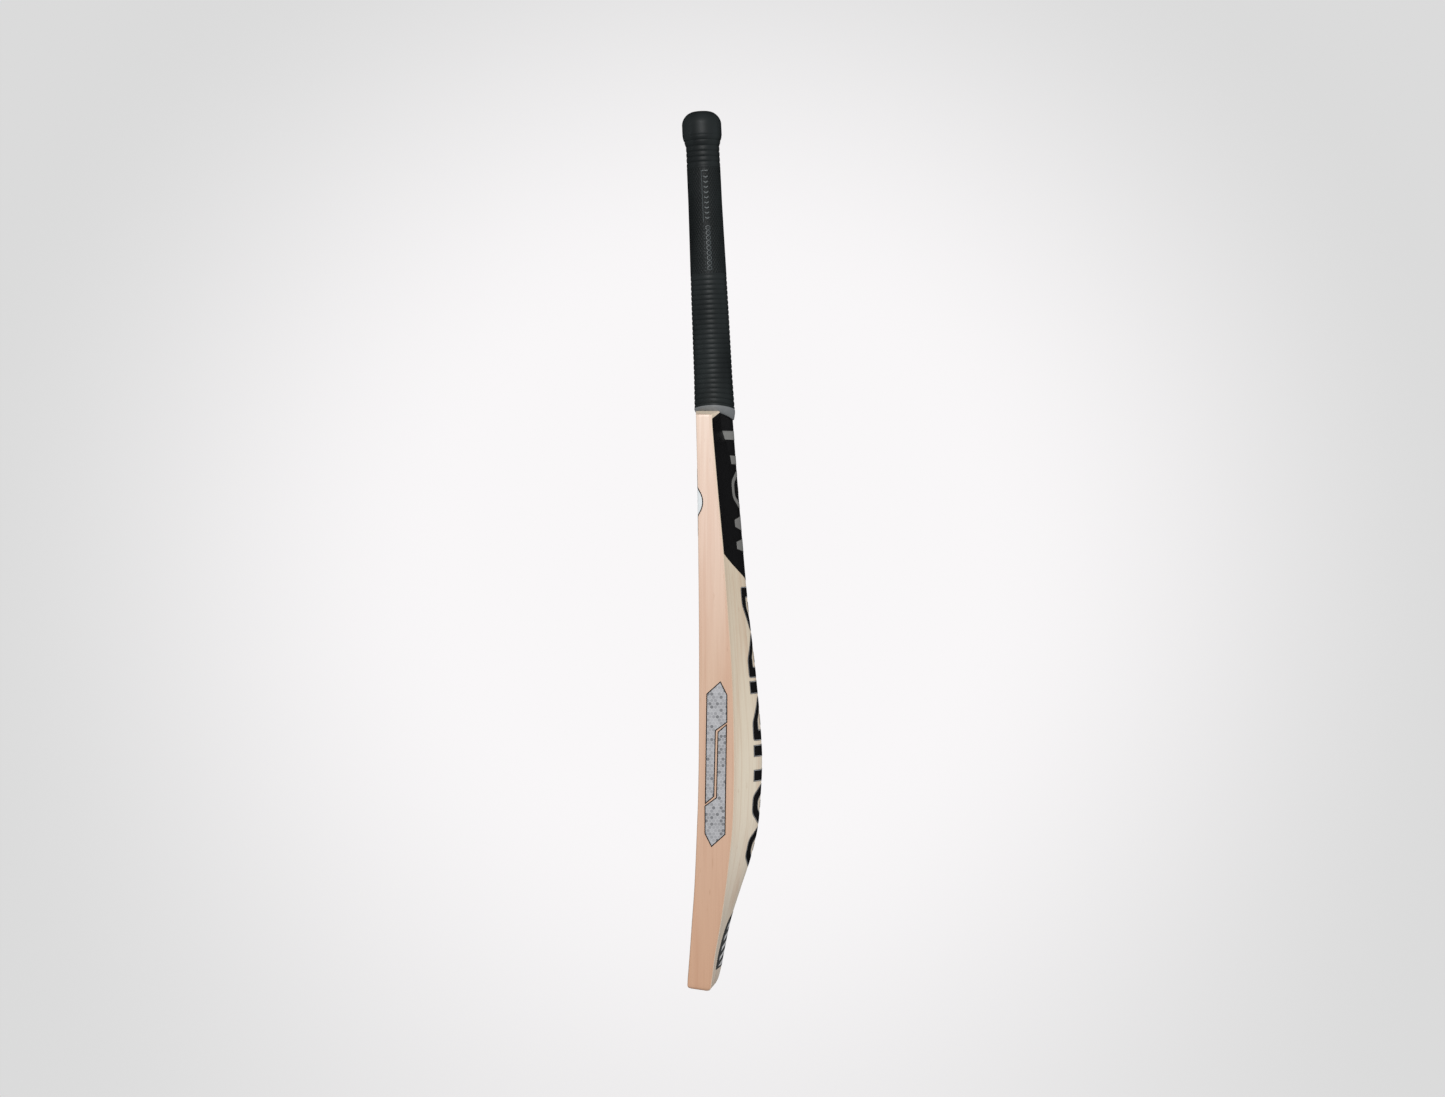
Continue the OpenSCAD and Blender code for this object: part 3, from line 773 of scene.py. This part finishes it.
def make_cuff():
    """The grey band at the foot of the grip, with a rounded upper rim and a thin lower lip."""
    turns = 144
    bore, lip_r, full_r = 17.4, 18.4, 19.75
    # share of the way from the lower cut to the upper one, and the radius there
    rim, rim_steps, rim_from, rim_share = 0.55, 5, 0.82, 0.18
    section = [
        (0, bore),
        (0, lip_r - 0.4),
        (0.03, lip_r),
        (0.25, 19.0),
        (0.5, 19.5),
        (0.72, full_r),
        (rim_from, full_r),
    ]
    for k in range(1, rim_steps + 1):
        a = math.pi / 2 * k / rim_steps
        section.append((rim_from + rim_share * math.sin(a), full_r - rim * (1 - math.cos(a))))
    section.append((1, bore))
    points = []
    for share, r in section:
        for k in range(turns):
            a = 2 * math.pi * k / turns
            low, high = saddle_height(CUFF_FOOT, a, full_r), saddle_height(GRIP_FOOT, a, full_r)
            points.append(handle_point(r, a, low + (high - low) * share))
    cuff = solid("cuff_band", points, band_faces(len(section), turns, close=True), [CUFF_RUBBER], 50)
    return stands_for(cuff, "cuff_rubber", "grip_cuff")


# ---------------------------------------------------------------- raised shapes on the grip

RAISED = 0.35
SUNK = -0.15
BEVEL = 0.2
GRIP_SIDES = (math.radians(4), math.radians(184))
CHEVRONS, CHEVRONS_FROM, CHEVRON_PITCH = 9, 173, 5
DOTS, DOTS_FROM, DOT_PITCH = 15, 123, 3.1
CHAIN, CHAIN_FROM, CHAIN_PITCH = 9, 125.5, 4.9
CHAIN_X, CHAIN_R, CHAIN_WALL = 0.4, 2.7, 0.85


def inset(outline, distance):
    """An outline whose points run anticlockwise, drawn in by a distance."""
    made = []
    count = len(outline)
    for i in range(count):
        before, here, after = (Vector(outline[k % count]) for k in (i - 1, i, i + 1))
        a, b = (here - before).normalized(), (after - here).normalized()
        left_a, left_b = Vector((-a.y, a.x)), Vector((-b.y, b.x))
        made.append(tuple(here + distance * (left_a + left_b) / (1 + left_a.dot(left_b))))
    return made


def regular(count, r, across=0, up=0, turn=0):
    """The corners of a regular shape about a middle."""
    angles = [2 * math.pi * k / count + turn for k in range(count)]
    return [(across + r * math.cos(a), up + r * math.sin(a)) for a in angles]


def on_grip(side_angle, across, up, lift):
    r = grip_radius(up)
    return handle_point(r + lift, side_angle + across / r, up)


def raised_shape(points, faces, side_angle, loops, filled):
    """Adds a raised shape: loops of points and lifts, each joined to the next, and a top if it is filled."""
    start, count = len(points), len(loops[0][0])
    for outline, lift in loops:
        points.extend(on_grip(side_angle, across, up, lift) for across, up in outline)
    for quad in band_faces(len(loops), count):
        faces.append([start + c for c in quad])
    for row in ((0, len(loops) - 1) if filled else ()):
        faces.append([start + row * count + c for c in range(count)])
    if not filled:
        last = start + (len(loops) - 1) * count
        for c in range(count):
            after = (c + 1) % count
            faces.append([start + c, start + after, last + after, last + c])


def bevelled(outline):
    """The loops of a filled raised shape: its foot, the top of its wall, and its top inside the bevel."""
    return [(outline, SUNK), (outline, RAISED - BEVEL), (inset(outline, BEVEL), RAISED)]


def filled_outlines():
    """The filled shapes of one side of the grip: two thin lines, the chevrons and the dots."""
    outlines = [
        [(-3.9, 170), (-3.3, 170), (-3.3, 221), (-3.9, 221)],
        [(-3.3, 220), (2.6, 220), (2.6, 221), (-3.3, 221)],
    ]
    for k in range(CHEVRONS):
        z = CHEVRONS_FROM + CHEVRON_PITCH * k
        left = [(-2, z + 2.6), (-2, z + 1.2)]
        right = [(2.4, z + 1.2), (2.4, z + 2.6)]
        outlines.append(left + [(0.2, z)] + right + [(0.2, z + 1.4)])
    return outlines + [regular(10, 0.45, -3.6, DOTS_FROM + DOT_PITCH * k) for k in range(DOTS)]


def make_grip_shapes():
    """On each side of the grip thin raised lines, a column of chevrons, and a chain of hexagons below."""
    points, faces = [], []
    for side_angle in GRIP_SIDES:
        for outline in filled_outlines():
            raised_shape(points, faces, side_angle, bevelled(outline), filled=True)
        for k in range(CHAIN):
            up = CHAIN_FROM + CHAIN_PITCH * k
            outer = regular(6, CHAIN_R, CHAIN_X, up, math.pi / 6)
            inner = inset(outer, CHAIN_WALL)
            inner_top = inset(outer, CHAIN_WALL - BEVEL)
            loops = bevelled(outer) + [(inner_top, RAISED), (inner, RAISED - BEVEL), (inner, SUNK)]
            raised_shape(points, faces, side_angle, loops, filled=False)
            raised_shape(points, faces, side_angle, bevelled(regular(8, 0.5, CHAIN_X, up)), filled=True)
    return stands_for(solid("grip_raised_shapes", points, faces, [GRIP_PAINTED_HIGHLIGHT], 30), "grip_rubber")


# ---------------------------------------------------------------- labels

def rounded(outline, r, count=4):
    """An outline with its corners rounded off, each by a curve that starts up to r from the corner."""
    made = []
    for i, here in enumerate(outline):
        here = Vector(here)
        before, after = Vector(outline[i - 1]), Vector(outline[(i + 1) % len(outline)])
        start = here + (before - here).normalized() * min(r, (before - here).length * 0.45)
        end = here + (after - here).normalized() * min(r, (after - here).length * 0.45)
        for k in range(count + 1):
            t = k / count
            made.append(tuple(start * (1 - t) ** 2 + here * 2 * t * (1 - t) + end * t ** 2))
    return made


def lay_flat(parts, steps):
    """A flat mesh of a label's parts, each an outline, its holes and a material's index, cut at each step."""
    bm = bmesh.new()
    for outline, holes, index in parts:
        loops = [[Vector((*p, 0)) for p in loop] for loop in (outline, *holes)]
        verts = [bm.verts.new(p) for loop in loops for p in loop]
        for corners in tessellate_polygon(loops):
            face = bm.faces.new([verts[c] for c in corners])
            face.material_index = index
    bmesh.ops.remove_doubles(bm, verts=bm.verts, dist=0.001)
    for face in bm.faces:
        face.normal_update()
    bmesh.ops.recalc_face_normals(bm, faces=bm.faces)
    for axis in (0, 1):
        values = [v.co[axis] for v in bm.verts]
        normal = [0, 0, 0]
        normal[axis] = 1
        first = math.floor(min(values) / steps[axis]) + 1
        for k in range(first, math.ceil(max(values) / steps[axis])):
            where = [0, 0, 0]
            where[axis] = k * steps[axis]
            everything = bm.verts[:] + bm.edges[:] + bm.faces[:]
            bmesh.ops.bisect_plane(bm, geom=everything, dist=0.0005, plane_co=where, plane_no=normal)
    return bm


# The labels are cut at the blade's own columns, and up the blade at the same step as its levels
BACK_GRID = (BACK_FLAT_W / COLUMNS, BODY_STEP)


def label(name, parts, place, outward, materials, slot, nodes, steps=BACK_GRID, base=0):
    """A vinyl label laid on the blade.

    place turns the label's two measures and a height over the wood into a point.
    """
    bm = lay_flat(parts, steps)
    for vert in bm.verts:
        vert.co = Vector(place(vert.co.x, vert.co.y, base + LABEL_T)) * MM
    for face in bm.faces:
        face.normal_update()
    if sum((face.normal.dot(Vector(outward)) * face.calc_area() for face in bm.faces), 0.0) < 0:
        bmesh.ops.reverse_faces(bm, faces=bm.faces)
    mesh = bpy.data.meshes.new(name)
    bm.to_mesh(mesh)
    bm.free()
    made = link(name, mesh, materials, 50)
    thick = made.modifiers.new("thickness", "SOLIDIFY")
    thick.thickness = (LABEL_T + LABEL_BED) * MM
    thick.offset = -1
    return stands_for(made, slot, *nodes)


def on_back(x, z, lift):
    return (x, back_y(x, z) + lift, z)


def over_face(u, z, lift):
    """A point over the face, its distance from the middle measured round the corner and on to the edge."""
    past = abs(u) - FACE_FLAT_W
    if past < 0:
        return (u, face_y(u, z) - lift, z)
    turn = FRONT_CORNER_R * math.pi / 2
    a = math.pi / 2 * min(1, past / turn)
    r = FRONT_CORNER_R + lift
    y = face_y(FACE_FLAT_W, z) + FRONT_CORNER_R - r * math.cos(a) + max(0, past - turn)
    return (math.copysign(FACE_FLAT_W + r * math.sin(a), u), y, z)


PANEL_LOW_Z, PANEL_SIDE_Z, PANEL_TOP_Z = 392, 419.8, 549.5
PANEL_NECK_W, PANEL_NECK_RISE, PANEL_SIDE_FALL = 17, 6, 0.225


def panel_outline():
    def low(x):
        return PANEL_LOW_Z + (PANEL_SIDE_Z - PANEL_LOW_Z) * (abs(x) / HALF_W) ** 1.15

    def high(x):
        if abs(x) < PANEL_NECK_W:
            return PANEL_TOP_Z + PANEL_NECK_RISE * (x / PANEL_NECK_W) ** 2
        return PANEL_TOP_Z + PANEL_NECK_RISE - PANEL_SIDE_FALL * (abs(x) - PANEL_NECK_W)

    count = 30
    across = [BACK_FLAT_W * k / count for k in range(-count, count + 1)]
    return [(x, low(x)) for x in across] + [(x, high(x)) for x in reversed(across)]


MOTIF_W = 20
STROKE = 10.5


def bar(w, low, high):
    return [(-w, low), (w, low), (w, high), (-w, high)]


def arrowhead(w, low, h, side_h, tip_w, way):
    """An arrowhead with a square foot, its point up if way is 1 and down if it is -1."""
    shape = [(-w, 0), (w, 0), (w, side_h), (tip_w, h), (-tip_w, h), (-w, side_h)]
    made = [(x, low + way * z) for x, z in shape]
    return made if way > 0 else made[::-1]


def arrow_ring(low, h, way):
    side_h = h * 0.42
    outer = arrowhead(MOTIF_W, low, h, side_h, 6, way)
    inner = arrowhead(MOTIF_W - STROKE, low + way * STROKE, h - 2 * STROKE, side_h - STROKE * 0.8, 2, way)
    return rounded(outer, 3.5), rounded(inner, 1.5)


def arrow_core(low, way):
    """The small solid arrowhead printed in the hole of a hollow one."""
    w, h, side_h, tip_w, gap = 4, 10, 4, 0.8, 4.5
    return arrowhead(w, low + way * (STROKE + gap), h, side_h, tip_w, way)


def long_hexagon(w, middle, h):
    shape = [(1, -0.45), (1, 0.45), (0.3, 1), (-0.3, 1), (-1, 0.45), (-1, -0.45), (-0.3, -1), (0.3, -1)]
    return [(x * w, middle + z * h) for x, z in shape]


def hexagon_ring(low, high, stroke):
    """A long hexagon, its hole, and the small square in its middle."""
    middle, h = (low + high) / 2, (high - low) / 2
    core = h * 0.18
    outer = rounded(long_hexagon(MOTIF_W, middle, h), 5)
    hole = rounded(long_hexagon(MOTIF_W - stroke, middle, h - stroke), 3)
    return outer, hole, bar(core, middle - core, middle + core)


def keyed(outline, hole=None):
    """The parts of a black shape with a dark outer line and a silver keyline, round its hole as well."""
    line, key = 0.35, 0.9
    parts = [(outline, [inset(outline, line)], 0), (inset(outline, line), [inset(outline, key)], 1)]
    holes = []
    if hole:
        parts += [(inset(hole, -line), [hole], 0), (inset(hole, -key), [inset(hole, -line)], 1)]
        holes = [inset(hole, -key)]
    return parts + [(inset(outline, key), holes, 0)]


def wide_hexagon(middle, half_h):
    """A hexagon as wide as the motifs, with upright ends."""
    end_h = 3.5
    return [
        (-MOTIF_W, middle - end_h),
        (0, middle - half_h),
        (MOTIF_W, middle - end_h),
        (MOTIF_W, middle + end_h),
        (0, middle + half_h),
        (-MOTIF_W, middle + end_h),
    ]


def arrow_motif(low, h, way):
    return keyed(*arrow_ring(low, h, way)) + [(arrow_core(low, way), [], 0)]


def hexagon_motif(low, high):
    outer, hole, core = hexagon_ring(low, high, STROKE)
    return keyed(outer, hole) + [(core, [], 0)]


def make_back_labels():
    back = (0, 1, 0)
    label("back_panel", [(panel_outline(), [], 0)], on_back, back, [BLACK], "black_vinyl", ["shoulder_panel"])
    mark_w, mark_h, ring_stroke = 17, 8.5, 5
    marks = [(bar(mark_w, low, low + mark_h), [], 0) for low in (529, 505)]
    outer, hole, core = hexagon_ring(462, 499, ring_stroke)
    marks += [(outer, [hole], 0), (core, [], 0)]
    marks += [(wide_hexagon(middle, half_h), [], 0) for middle, half_h in ((447.6, 8.1), (426.2, 6.9))]
    label("panel_shapes", marks, on_back, back, [GREY], "grey_vinyl", ["panel_marks"], base=LABEL_T)
    motifs = [
        arrow_motif(386, 43, -1),
        arrow_motif(297.5, 43, 1),
        keyed(bar(MOTIF_W, 282, 294.5)),
        arrow_motif(236.5, 42.5, 1),
        keyed(bar(MOTIF_W, 221, 232.5)),
        keyed(bar(MOTIF_W, 197, 208.5)),
        hexagon_motif(155, 194),
        hexagon_motif(113, 152),
    ]
    for number, parts in enumerate(motifs, 1):
        nodes = [f"back_motif_{number}"]
        label(f"spine_motif_{number}", parts, on_back, back, [BLACK, KEYLINE], "black_vinyl", nodes)


def half_oval(low, w, h):
    """The upper half of an oval that stands on a height, from its right end to its left one."""
    count = 40
    angles = [math.pi * k / count for k in range(count + 1)]
    return [(w * math.cos(a), low + h * math.sin(a)) for a in angles]


def make_toe_label():
    low, w, h = 17, 38, 52
    outline = rounded([(-w, low), (w, low)] + half_oval(low, w, h)[1:-1], 0.6)
    inner = half_oval(19, 26, 44)
    parts = [(outline, [inner], 0), (inner, [], 1)]
    label("toe_sticker", parts, on_back, (0, 1, 0), [DARK, STRIPED], "dark_vinyl", ["toe_label"])


def make_face_badge():
    """An oval over the face that wraps on to both edges, with a plain ring and stripes in its middle."""
    middle_z, w, h = 468, 57.8, 33
    count = 96

    def oval(share, shrink):
        across, up = w * share - shrink, h * share - shrink
        angles = [2 * math.pi * k / count for k in range(count)]
        return [(across * math.cos(a), middle_z + up * math.sin(a)) for a in angles]

    border_w, ring_share, ring_w = 1, 0.8, 1.4
    field = oval(1, border_w)
    ring_out, ring_in = oval(ring_share, 0), oval(ring_share, ring_w)
    parts = [(oval(1, 0), [field], 0), (field, [ring_out], 1), (ring_out, [ring_in], 2)]
    stripe_w, stripe_taper, stripe_pitch, half_stripe = 24, 4, 7, 1.0
    stripes = []
    for k in (-2, -1, 0, 1, 2):
        z = middle_z + stripe_pitch * k
        stripes.append(bar(stripe_w - abs(k) * stripe_taper, z - half_stripe, z + half_stripe))
    parts += [(ring_in, stripes, 1)] + [(stripe, [], 0) for stripe in stripes]
    looks = [BLACK, WHITE, KEYLINE]
    label("face_oval", parts, over_face, (0, -1, 0), looks, "white_vinyl", ["face_badge"], steps=(0.9, 4))


def make_edge_labels():
    """The two halves of the silver label on each edge; the lower half is the upper one turned over."""
    middle_y, middle_z = 16.6, 216.5
    upper = [(21, 296), (27.5, 283), (27.5, 256.5), (16.5, 248.5), (15, 185.5), (6, 178), (7.5, 284)][::-1]
    lower = [(2 * middle_y - y, 2 * middle_z - z) for y, z in upper]
    keyline = 0.95
    for side, side_name in ((1, "right"), (-1, "left")):
        for outline, half_name in ((upper, "upper"), (lower, "lower")):
            inner = inset(outline, keyline)
            label(
                f"edge_sticker_{side_name}_{half_name}",
                [(outline, [inner], 0), (inner, [], 1)],
                lambda y, z, lift, side=side: (side * (HALF_W + lift), y, z),
                (side, 0, 0),
                [BLACK, HONEYCOMB],
                "silver_vinyl",
                [f"edge_label_{side_name}_{half_name}"],
                steps=(20, 20),
            )


# ---------------------------------------------------------------- cane, rubber layers, twine and tape

WEDGE_FROM_Z = 420
CANE_MIDDLE_W = 5.6
INSERT_GAP, INSERT_T = 8.6, 1.6
BEYOND = 40
BLOCK_FROM_H, BLOCK_TO_H = -165, 295


def splice_core():
    """The wedge of the splice in the blade's own smooth shape, without the glue line round it."""
    levels = [z for z in blade_levels() if z > WEDGE_FROM_Z]
    rings = [blade_level(z) for z in levels]
    columns = len(rings[0])
    faces = band_faces(len(rings), columns) + capped(len(rings), columns)
    core = solid("splice_core", [p for ring in rings for p in ring], faces, [CANE])
    cutter = splice_cutter(0)
    core.data = sliced(core, cutter, "INTERSECT")
    bpy.data.objects.remove(cutter)
    return core


def turned_cane():
    turns = 96
    section = [(cane_r, h) for h, cane_r, _ in TURNED]
    points = [handle_point(r, 2 * math.pi * k / turns, h) for r, h in section for k in range(turns)]
    faces = band_faces(len(section), turns)
    faces += [list(range(turns)), list(range((len(section) - 1) * turns, len(section) * turns))]
    return solid("turned_cane", points, faces, [CANE])


def layer_block(x_from, x_to, y_from, y_to):
    """A block in the handle's own frame, as long as the cane and its wedge."""
    corners = ((x_from, y_from), (x_to, y_from), (x_to, y_to), (x_from, y_to))
    points = [leaned(x, y, h) for h in (BLOCK_FROM_H, BLOCK_TO_H) for x, y in corners]
    sides = [(k, (k + 1) % 4, 4 + (k + 1) % 4, 4 + k) for k in range(4)]
    return solid("layer_block", points, sides + [(0, 1, 2, 3), (4, 5, 6, 7)], [CANE])


def make_cane():
    """Twelve strips of cane in four layers, and the three rubber layers between them."""
    core, turned = splice_core(), turned_cane()
    core.data = sliced(core, turned, "UNION")
    half_t = INSERT_T / 2
    layers = {
        "face": (-BEYOND, -INSERT_GAP - half_t),
        "second": (-INSERT_GAP + half_t, -half_t),
        "third": (half_t, INSERT_GAP - half_t),
        "back": (INSERT_GAP + half_t, BEYOND),
    }
    columns = {
        "left": (-BEYOND, -CANE_MIDDLE_W),
        "middle": (-CANE_MIDDLE_W, CANE_MIDDLE_W),
        "right": (CANE_MIDDLE_W, BEYOND),
    }
    pieces = [
        (f"cane_{layer}_{column}", f"cane_strip_{layer}_{column}", CANE, "cane", (*x_range, *y_range))
        for layer, y_range in layers.items() for column, x_range in columns.items()
    ]
    for place, middle in (("face", -INSERT_GAP), ("middle", 0), ("back", INSERT_GAP)):
        block = (-BEYOND, BEYOND, middle - half_t, middle + half_t)
        names = (f"rubber_layer_{place}", f"rubber_insert_{place}")
        pieces.append((*names, INSERT_RUBBER, "insert_rubber", block))
    for name, node, material, slot, block in pieces:
        tool = layer_block(*block)
        mesh = sliced(core, tool, "INTERSECT")
        mesh.materials.clear()
        made = link(name, mesh, [material], 30)
        stands_for(made, slot, node)
        bpy.data.objects.remove(tool)
    bpy.data.objects.remove(core)
    bpy.data.objects.remove(turned)


def finish_cad_nodes():
    """The inner CAD nodes that stay: twine and tape."""
    looks = {"twine_binding": TWINE, "grip_tape": TAPE}
    for name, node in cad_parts.items():
        for start, material in looks.items():
            if name.startswith(start):
                node.data.materials.clear()
                node.data.materials.append(material)


# ---------------------------------------------------------------- studio

def make_studio():
    """A plain pale floor that curves up into the walls all round, glowing by itself for the camera only, with
    a painted pool of light behind the bat.
    """
    turns, floor_z, floor_r, bend_r, top_z = 96, -0.9, 4.0, 1.6, 5.0
    middle_r, bend_steps, roof_rise, glow_z = 0.02, 12, 2, 0.42
    section = [(middle_r, floor_z), (floor_r, floor_z)]
    for k in range(1, bend_steps + 1):
        a = math.pi / 2 * k / bend_steps
        section.append((floor_r + bend_r * math.sin(a), floor_z + bend_r * (1 - math.cos(a))))
    section += [(floor_r + bend_r, top_z), (middle_r, top_z + roof_rise)]
    points = [
        (r * math.cos(2 * math.pi * k / turns), r * math.sin(2 * math.pi * k / turns), z)
        for r, z in section for k in range(turns)
    ]
    mesh = bpy.data.meshes.new("studio_floor")
    mesh.from_pydata(points, [], band_faces(len(section), turns))
    s = Shader("studio_backdrop_glow")
    x, y, z = s.add("SeparateXYZ", {0: s.place()}).outputs
    across = s.math("POWER", y, 2)
    up = s.math("POWER", s.math("SUBTRACT", z, glow_z), 2)
    away = s.math("SQRT", s.math("ADD", across, up))
    behind = s.spread(x, 0.5, -3.5, smooth=True)
    # painted light: the backdrop glows brighter behind the bat and darker away from it
    glow = s.math("MULTIPLY", s.spread(away, 2.1, 0.7, smooth=True), behind)
    tone = s.between(glow, paint(219, 219, 219), paint(249, 247, 248))
    light = s.add("Emission", {"Color": tone, "Strength": 1.0})
    s.tree.links.new(light.outputs[0], s.tree.nodes["Material Output"].inputs["Surface"])
    studio = link("studio_floor", mesh, [s.material], 180)
    for ray in ("diffuse", "glossy", "transmission", "volume_scatter", "shadow"):
        setattr(studio, "visible_" + ray, False)


def softbox(name, place, aim, width, height, power, shines=False):
    light = bpy.data.lights.new(name, "AREA")
    light.shape = "RECTANGLE"
    light.size = width
    light.size_y = height
    light.energy = power
    lamp = bpy.data.objects.new(name, light)
    bpy.context.scene.collection.objects.link(lamp)
    lamp.location = place
    lamp.rotation_euler = (Vector(aim) - Vector(place)).to_track_quat("-Z", "Y").to_euler()
    lamp.visible_glossy = shines


def make_lights():
    world = bpy.data.worlds.new("soft_studio")
    bpy.context.scene.world = world
    world.use_nodes = True
    sky = world.node_tree.nodes["Background"]
    sky.inputs["Color"].default_value = (1.0, 0.99, 0.985, 1)
    sky.inputs["Strength"].default_value = 0.6
    world.cycles_visibility.glossy = False
    middle = (0, 0, 0.45)
    softbox("key", (3.2, -0.1, 1.7), middle, 0.8, 1.0, 55, shines=True)
    softbox("fill_back", (0.6, 3.0, 1.4), middle, 1.6, 1.6, 30)
    softbox("fill_face", (0.6, -3.0, 1.4), middle, 1.6, 1.6, 30)
    softbox("fill_far", (-3.0, 0.2, 1.6), middle, 1.6, 1.6, 30)
    bpy.context.scene.view_settings.view_transform = "Standard"


def make_camera():
    """The photograph's view: level, straight on to the right-hand edge, about 3 m away."""
    camera = bpy.data.cameras.new("camera")
    camera.sensor_width = 36
    camera.lens = 76.58
    camera.clip_end = 50
    holder = bpy.data.objects.new("camera", camera)
    bpy.context.scene.collection.objects.link(holder)
    holder.location = (3.0, 0.0229, 0.4232)
    holder.rotation_euler = (math.pi / 2, 0, math.pi / 2)
    bpy.context.scene.camera = holder


make_blade()
make_cane()
make_grip()
make_grip_shapes()
make_cuff()
make_back_labels()
make_toe_label()
make_face_badge()
make_edge_labels()
finish_cad_nodes()
make_studio()
make_lights()
make_camera()
